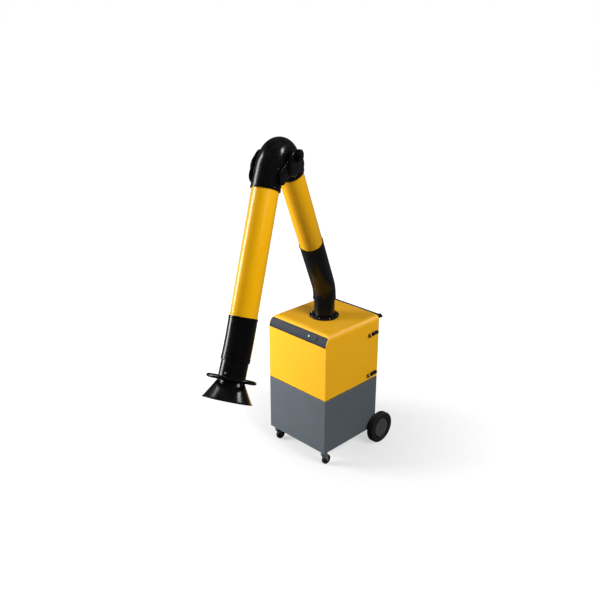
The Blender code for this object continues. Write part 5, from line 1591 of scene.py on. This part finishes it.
class EXTRACTOR_OT_elbow(bpy.types.Operator):
    """Model the elbow: collars with ears, hose, hubs and clamp knob."""

    bl_idname = "extractor.elbow"
    bl_label = "Elbow"
    bl_options = {"REGISTER", "UNDO"}

    def execute(self, context):
        end = SHOULDER @ shift(0, 0, ELBOW_REACH)
        eye = SHOULDER @ shift(0, -ELBOW_OFFSET, ELBOW_REACH)
        lower_ears = self.ear_shapes(LOWER_EARS, ELBOW_OFFSET)
        upper_ears = self.ear_shapes(UPPER_EARS, -ELBOW_OFFSET, True)
        for side, length, place, ears, ear_place in (
            ("lower", LOWER_COLLAR_END, end, lower_ears, eye),
            ("upper", UPPER_COLLAR_END, FRONT, upper_ears, ELBOW),
        ):
            collar = move_shape(self.collar_shape(length), place)
            shell = join_shapes(collar, *(move_shape(ear, ear_place) for ear in ears))
            name = side + "_elbow_shell"
            add_piece(name, shell, BLACK_PLASTIC, side + "_arm", None, side + "_elbow_collar")
        self.add_elbow_hose()
        self.add_hubs()
        return {"FINISHED"}

    def add_hubs(self):
        """The hub caps, the clamp knob and the bolts in the ears."""
        pod = link_shape(HUB_POD, -HUB_FACE - HUB_POD_DEPTH, -HUB_FACE, 0.0100, SMOOTH_SIDES, 6)
        add_piece("elbow_hub_cap_left", pod, BLACK_PLASTIC, "upper_arm", ELBOW, "elbow_hub_left")
        disc = turned_shape(HUB_DISC, segments=6)
        face = ELBOW @ shift(HUB_FACE, 0, 0) @ ALONG_X
        add_piece("elbow_hub_cap_right", disc, BLACK_PLASTIC, "upper_arm", face, "elbow_hub_right")
        knob = self.knob_shape()
        face = ELBOW @ shift(KNOB_FACE, 0, KNOB_RISE) @ ALONG_X
        add_piece("elbow_clamp_knob", knob, BLACK_PLASTIC, "clamp_knob", face, "elbow_knob")
        bolts = [
            bolt_shape(*EAR_BOLT, ELBOW @ shift(side * UPPER_EARS[1], y, z) @ rotate(side * 90, "Y"))
            for side in (-1, 1)
            for y, z in EAR_BOLT_PLACES
        ]
        add_piece("elbow_ear_bolts", join_shapes(*bolts), BLACK_SATIN, "upper_arm")

    def collar_shape(self, end):
        """A collar sleeve with a rolled lip at its open end."""
        body = COLLAR_RADIUS - 0.0002
        lip = COLLAR_RADIUS + 0.0012
        return turned_shape(
            [
                (body, -COLLAR_TOP, 0.0012),
                (body, -end + 0.0130, 0.0010),
                (lip, -end + 0.0110, 0.0010),
                (lip, -end, 0.0012),
                (COLLAR_SEAT, -end),
                (COLLAR_SEAT, -COLLAR_STEP),
                (COLLAR_BORE, -COLLAR_STEP),
                (COLLAR_BORE, -COLLAR_TOP),
            ]
        )

    def ear_shapes(self, plates, across, rooted=False):
        """Both ears of a collar, with thick roots where they stand off it."""
        inner, outer = plates
        shapes = []
        for side in (-1, 1):
            low, high = sorted((side * inner, side * outer))
            circles = ((across, EAR_FOOT, EAR_FOOT_RADIUS), (0, 0, EAR_RADIUS))
            shapes.append(link_shape(circles, low, high, 0.0022, EAR_SIDES, 4))
            if rooted:
                low, high = sorted((side * COLLAR_BORE, side * (outer - 0.001)))
                root = bar_shape(EAR_ROOT_RADIUS, low, high, EAR_SIDES, 0.0006)
                shapes.append(move_shape(root, shift(0, across, EAR_FOOT) @ ALONG_X))
        return shapes

    def add_elbow_hose(self):
        """The dome of hose from collar to collar."""
        fold = math.radians(ELBOW_FOLD)
        slope = math.tan(fold / 2)
        straight = ELBOW_OFFSET / slope - ELBOW_BEND / slope + ELBOW_LAP
        radius = HOSE_RADIUS - 0.0006
        add_hose(
            "elbow_hose_sleeve",
            hose_shape(radius, straight, ELBOW_BEND, math.pi - fold, straight, ELBOW_RINGS),
            SHOULDER @ shift(0, 0, ELBOW_REACH - ELBOW_LAP),
            "elbow_hose",
        )

    def knob_shape(self):
        """A lobed clamp knob with a rounded face."""
        shape = bmesh.new()
        bmesh.ops.create_circle(shape, cap_ends=True, radius=KNOB_RADIUS, segments=SMOOTH_SIDES)
        for vert in shape.verts:
            angle = math.atan2(vert.co.y, vert.co.x)
            vert.co *= 1.0 - KNOB_WAVE * (1.0 - math.cos(KNOB_LOBES * angle))
        rise = bmesh.ops.extrude_face_region(shape, geom=shape.faces[:])["geom"]
        bmesh.ops.translate(shape, vec=(0, 0, KNOB_DEPTH), verts=of_kind(BMVert, rise))
        tidy_shape(shape)
        rim = edges_where(shape, lambda spot: spot.z > KNOB_DEPTH - 0.0005)
        bevel_edges(shape, rim, KNOB_ROUNDING, 8)
        return join_shapes(shape, turned_shape(KNOB_CENTRE, FINE_SIDES))


# Hood: the heights of the next three sections are stations along the front arm from its elbow

HOOD_CUFF = (
    (0.0830, 1.150), (0.0830, 1.2102), (0.0874, 1.2104, 0.0012), (0.0874, 1.2222, 0.0012),
    (0.0771, 1.2222), (0.0771, 1.150),
)
HOOD_NECK = (
    (0.0759, 1.1907), (0.0759, NECK[0]), (NECK_RADIUS, NECK[0], 0.0012), (NECK_RADIUS, NECK[1]),
    (0.0791, NECK[1]), (0.0791, 1.2290), (0.0731, 1.2256), (0.0731, 1.1907),
)
HOOD_CONE = (
    (NECK_RADIUS, CONE[0]), (0.0850, CONE[0] + 0.006, 0.004), (0.1432, CONE[1] - 0.0090, 0.006),
    (MOUTH_RADIUS - 0.0030, CONE[1] - 0.0075, 0.0014), (MOUTH_RADIUS, CONE[1] - 0.0045, 0.0020),
    (MOUTH_RADIUS - 0.0008, CONE[1], 0.0016), (0.1412, CONE[1], 0.0012),
    (0.1398, CONE[1] - 0.0090, 0.004), (0.0820, CONE[0] + 0.0070, 0.004),
    (0.0791, CONE[0] + 0.0010), (0.0791, CONE[0]),
)
WRIST_RINGS = (10, 10, 8)
WRIST_BANDS = (0.9660, 1.2020)
RING_INSET = 0.004
RING_OVAL = (0.0158, 0.0116)
RING_SLEEVE = (
    (0.0892, 0.0098, 0.0016), (0.0892, -0.0098, 0.0016), (0.0823, -0.0098), (0.0823, 0.0098),
)
RING_SPOKE = ((0.0865, -0.0108, -0.0058), (RING_RADIUS, 0.0108, 0.0058))
SPOKE_ANGLES = (-7.0, 113.0, 233.0)
DAMPER_FLAP = (0.0750, -0.0014, 0.0014)
DAMPER_SHAFT = (0.0039, -0.0823, 0.0780)
DAMPER_FACE = -0.0828
DAMPER_BOSS = ((0.0118, 0.0, 0.0008), (0.0118, 0.0070, 0.0020), (0.0, 0.0072), (0.0, 0.0))
DAMPER_KNOB = ((0.0062, 0.0073), (0.0062, 0.0160, 0.0020), (0.0, 0.0178), (0.0, 0.0073))


def hood_shape(points):
    """Turn a section of the hood about the wrist's axis."""
    return turned_shape([(point[0], WRIST_PIVOT - point[1], *point[2:]) for point in points])


class EXTRACTOR_OT_hood(bpy.types.Operator):
    """Model the wrist hose, cuff, neck, cone, ring handle and damper."""

    bl_idname = "extractor.hood"
    bl_label = "Wrist and hood"
    bl_options = {"REGISTER", "UNDO"}

    def execute(self, context):
        self.add_wrist_hose()
        for name, section, body, node in (
            ("hood_cuff_ring", HOOD_CUFF, "wrist", "hood_cuff"),
            ("hood_neck_sleeve", HOOD_NECK, "hood", "hood_neck"),
            ("hood_cone_shell", HOOD_CONE, "hood", "hood_cone"),
        ):
            add_piece(name, hood_shape(section), BLACK_PLASTIC, body, WRIST, node)
        spot = WRIST @ shift(0, 0, WRIST_PIVOT - RING_STATION)
        ring = self.ring_shape()
        add_piece("ring_handle_grip", ring, BLACK_PLASTIC, "hood", spot, "ring_handle")
        self.add_damper()
        return {"FINISHED"}

    def add_wrist_hose(self):
        """The hose round the wrist joint and its two bands."""
        bend = math.radians(-WRIST_TILT)
        top, bottom = WRIST_HOSE
        add_hose(
            "wrist_hose_sleeve",
            hose_shape(
                HOSE_RADIUS,
                WRIST_PIVOT - WRIST_BEND - top,
                WRIST_BEND / math.tan(bend / 2),
                bend,
                bottom - WRIST_PIVOT - WRIST_BEND,
                WRIST_RINGS,
            ),
            FRONT @ shift(0, 0, -top) @ rotate(180, "Y"),
            "wrist_hose",
        )
        top, bottom = WRIST_BANDS
        band = band_shape(-top)
        add_piece("wrist_hose_tube_band", band, BLACK_PLASTIC, "upper_arm", FRONT)
        band = band_shape(WRIST_PIVOT - bottom)
        add_piece("wrist_hose_cuff_band", band, BLACK_PLASTIC, "wrist", WRIST)

    def ring_shape(self):
        """The ring handle with its sleeve and its spokes."""
        ring = bmesh.new()
        spot = shift(RING_RADIUS - RING_INSET, 0, 0) @ rotate(90, "X")
        oval = Matrix.Diagonal((*RING_OVAL, 1.0, 1.0))
        bmesh.ops.create_circle(ring, cap_ends=False, radius=1.0, segments=32, matrix=spot @ oval)
        spin_round(ring, SMOOTH_SIDES)
        spokes = [
            move_shape(box_shape(*RING_SPOKE, 0.0030, 4), rotate(angle - 90, "Z"))
            for angle in SPOKE_ANGLES
        ]
        return join_shapes(ring, turned_shape(RING_SLEEVE), *spokes)

    def add_damper(self):
        """The flap on its shaft, and the small knob on its boss."""
        damper = WRIST @ shift(0, 0, WRIST_PIVOT - DAMPER_STATION)
        disc = bar_shape(*DAMPER_FLAP, SMOOTH_SIDES, 0.0005)
        shaft = bar_shape(*DAMPER_SHAFT, SMALL_SIDES)
        flap = join_shapes(move_shape(disc, ALONG_X), move_shape(shaft, ALONG_Y))
        add_piece("damper_flap", flap, ZINC_STEEL, "damper", damper, "damper_plate")
        spot = damper @ shift(0, DAMPER_FACE, 0) @ rotate(90, "X")
        boss = turned_shape(DAMPER_BOSS, FINE_SIDES)
        add_piece("damper_knob_boss", boss, BLACK_SATIN, "damper", spot)
        knob = turned_shape(DAMPER_KNOB, FINE_SIDES)
        add_piece("damper_turn_knob", knob, ZINC_STEEL, "damper", spot, "damper_knob")


KEPT_NODES = {
    "mid_deck": BLACK_SATIN,
    "control_module": BLACK_SATIN,
    "filter_cassette": FILTER_MEDIA,
    "fan_impeller": ZINC_STEEL,
    "fan_motor": MOTOR_CAST,
    "motor_bracket": ZINC_STEEL,
    "shoulder_bracket": ZINC_STEEL,
    "arm_tongue": ZINC_STEEL,
    "elbow_friction_disc_left": FRICTION_FIBRE,
    "elbow_friction_disc_right": FRICTION_FIBRE,
    "wrist_bracket": ZINC_STEEL,
    "hood_yoke": ZINC_STEEL,
}


class EXTRACTOR_OT_inner_pieces(bpy.types.Operator):
    """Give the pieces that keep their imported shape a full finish."""

    bl_idname = "extractor.inner_pieces"
    bl_label = "Inner pieces"
    bl_options = {"REGISTER", "UNDO"}

    def execute(self, context):
        for node, finish in KEPT_NODES.items():
            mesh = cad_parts[node].data
            mesh.materials.clear()
            mesh.materials.append(finish_material(finish))
        return {"FINISHED"}


# Stage

WHITE = (1.0, 1.0, 1.0, 1.0)
FLOOR_SIZE = 400.0
LIGHT_AIM = Vector((0.2, -0.4, 0.9))

# Lights that show in reflections alone: place, size and share of the stripe light's power
STRIPES = (
    ("stripe_light", (-4.06, -3.5, 3.4), (1.5, 5.8), 1.26),
    ("spark_light", (5.1, 7.5, 7.5), (1.2, 3.0), 0.9),
)
# Lights that no reflection shows: place, size and the setting of their power
FILLS = (
    ("key_light", (-2.5, -2.6, 1.45), (1.6, 1.6), "key_power"),
    ("side_fill", (9.6, -0.8, 8.4), (6.0, 6.0), "side_power"),
    ("rim_light", (2.55, 3.65, 2.65), (3.0, 3.0), "rim_power"),
)

CAMERA_PLACE = (3.518, -3.770, 3.148)
CAMERA_AZIMUTH = math.radians(45.09)
CAMERA_ELEVATION = math.radians(21.65)
CAMERA_LENS = 43.61
CAMERA_SENSOR = 36.0
CAMERA_REACH = 200.0


class EXTRACTOR_OT_stage(bpy.types.Operator):
    """Set the pale floor, the soft lights and the camera."""

    bl_idname = "extractor.stage"
    bl_label = "Stage"
    bl_options = {"REGISTER", "UNDO"}

    def execute(self, context):
        scene = context.scene
        stage = scene.extractor_stage
        self.add_floor()
        scene.world = self.pale_surround(stage.surround)
        for name, place, size, share in STRIPES:
            stripe = self.add_light(name, place, size, stage.stripe_power * share)
            stripe.visible_diffuse = False
        for name, place, size, setting in FILLS:
            fill = self.add_light(name, place, size, getattr(stage, setting))
            fill.visible_glossy = False
        scene.camera = self.add_camera()
        scene.view_settings.view_transform = "Standard"
        return {"FINISHED"}

    def add_floor(self):
        """The floor, which isn't part of the object."""
        floor = bmesh.new()
        bmesh.ops.create_grid(floor, x_segments=2, y_segments=2, size=FLOOR_SIZE)
        bmesh.ops.translate(floor, vec=(0, 0, FLOOR_Z), verts=floor.verts)
        ground = shape_object("pale_floor", floor)
        ground.data.materials.append(self.floor_finish())

    def floor_finish(self):
        """A matt white floor whose glow is dimmed near the object as painted shade and rises to full
        white further out, with the faintest drift of tone.
        """
        made = bpy.data.materials.new("pale_floor")
        made.use_nodes = True
        tree = made.node_tree
        shader = tree.nodes["Principled BSDF"]
        shader.inputs["Roughness"].default_value = 0.8
        shader.inputs["Specular IOR Level"].default_value = 0.2
        shader.inputs["Emission Color"].default_value = WHITE
        path = add_node(tree, "ShaderNodeLightPath").outputs
        cloud = noise_on_object(tree, scale=0.6)
        bounce = remap(tree, path["Is Camera Ray"], (0.0, 1.0), (0.08, 0.30))
        drift = remap(tree, cloud.outputs["Fac"], (0.0, 1.0), (0.97, 1.03))
        tone = add_maths(tree, "MULTIPLY", bounce, drift)
        tree.links.new(tone, shader.inputs["Base Color"])
        place = add_node(tree, "ShaderNodeTexCoord")
        reach = add_node(tree, "ShaderNodeVectorMath", {"operation": "LENGTH"})
        tree.links.new(place.outputs["Object"], reach.inputs[0])
        # Painted shade: the glow is weaker near the object, so the floor round and under it reads
        # darker as if in its shade.
        glow_with_painted_shade = remap(tree, reach.outputs["Value"], (0.4, 2.5), (0.57, 1.0))
        seen = add_maths(
            tree, "MULTIPLY_ADD", path["Is Glossy Ray"], 0.05, path["Is Camera Ray"]
        )
        level = add_maths(tree, "MULTIPLY", glow_with_painted_shade, seen)
        tree.links.new(level, shader.inputs["Emission Strength"])
        return made

    def pale_surround(self, strength):
        """A white surround that lights the object only faintly."""
        world = bpy.data.worlds.new("pale_surround")
        world.use_nodes = True
        tree = world.node_tree
        sky = tree.nodes["Background"]
        sky.inputs["Color"].default_value = WHITE
        seen = add_node(tree, "ShaderNodeLightPath").outputs["Is Camera Ray"]
        level = remap(tree, seen, (0.0, 1.0), (strength, 1.0))
        tree.links.new(level, sky.inputs["Strength"])
        return world

    def add_light(self, name, place, size, power):
        """Add a soft rectangular light that faces the object."""
        data = bpy.data.lights.new(name, "AREA")
        data.shape = "RECTANGLE"
        data.size, data.size_y = size
        data.energy = power
        return self.add_holder(name, data, place, LIGHT_AIM - Vector(place))

    def add_camera(self):
        """Add the camera at the photo's place and angle."""
        data = bpy.data.cameras.new("photo_camera")
        data.sensor_width = CAMERA_SENSOR
        data.lens = CAMERA_LENS
        data.clip_end = CAMERA_REACH
        level = math.cos(CAMERA_ELEVATION)
        back = Vector(
            (
                math.sin(CAMERA_AZIMUTH) * level,
                -math.cos(CAMERA_AZIMUTH) * level,
                math.sin(CAMERA_ELEVATION),
            )
        )
        return self.add_holder("photo_camera", data, CAMERA_PLACE, -back)

    def add_holder(self, name, data, place, heading):
        """Put a light or a camera in its place, facing along its heading."""
        holder = bpy.data.objects.new(name, data)
        holder.location = place
        holder.rotation_mode = "QUATERNION"
        holder.rotation_quaternion = heading.to_track_quat("-Z", "Y")
        bpy.context.scene.collection.objects.link(holder)
        return holder


class EXTRACTOR_PT_sidebar(bpy.types.Panel):
    """Lists the extractor's operators and settings."""

    bl_idname = "EXTRACTOR_PT_sidebar"
    bl_label = "Mobile fume extractor"
    bl_space_type = "VIEW_3D"
    bl_region_type = "UI"
    bl_category = "Extractor"

    def draw(self, context):
        layout = self.layout
        for operator in OPERATORS:
            layout.operator(operator.bl_idname)
        for group in SETTINGS:
            box = layout.box()
            settings = getattr(context.scene, group)
            for name in settings.__annotations__:
                box.prop(settings, name)


SETTINGS = {
    "extractor_finishes": ExtractorFinishSettings,
    "extractor_sizes": ExtractorSizeSettings,
    "extractor_stage": ExtractorStageSettings,
}

OPERATORS = (
    EXTRACTOR_OT_stage,
    EXTRACTOR_OT_casings,
    EXTRACTOR_OT_panel_fittings,
    EXTRACTOR_OT_push_handle,
    EXTRACTOR_OT_rear_fittings,
    EXTRACTOR_OT_latches,
    EXTRACTOR_OT_rear_wheels,
    EXTRACTOR_OT_castors,
    EXTRACTOR_OT_arm_foot,
    EXTRACTOR_OT_arm_tubes,
    EXTRACTOR_OT_elbow,
    EXTRACTOR_OT_hood,
    EXTRACTOR_OT_inner_pieces,
)


def register():
    for name, group in SETTINGS.items():
        bpy.utils.register_class(group)
        setattr(bpy.types.Scene, name, PointerProperty(type=group))
    for operator in OPERATORS:
        bpy.utils.register_class(operator)
    bpy.utils.register_class(EXTRACTOR_PT_sidebar)


def unregister():
    bpy.utils.unregister_class(EXTRACTOR_PT_sidebar)
    for operator in reversed(OPERATORS):
        bpy.utils.unregister_class(operator)
    for name, group in SETTINGS.items():
        delattr(bpy.types.Scene, name)
        bpy.utils.unregister_class(group)


def main():
    """Register, and build every piece in order."""
    register()
    for operator in OPERATORS:
        group, name = operator.bl_idname.split(".")
        getattr(getattr(bpy.ops, group), name)()


if __name__ == "__main__":
    main()
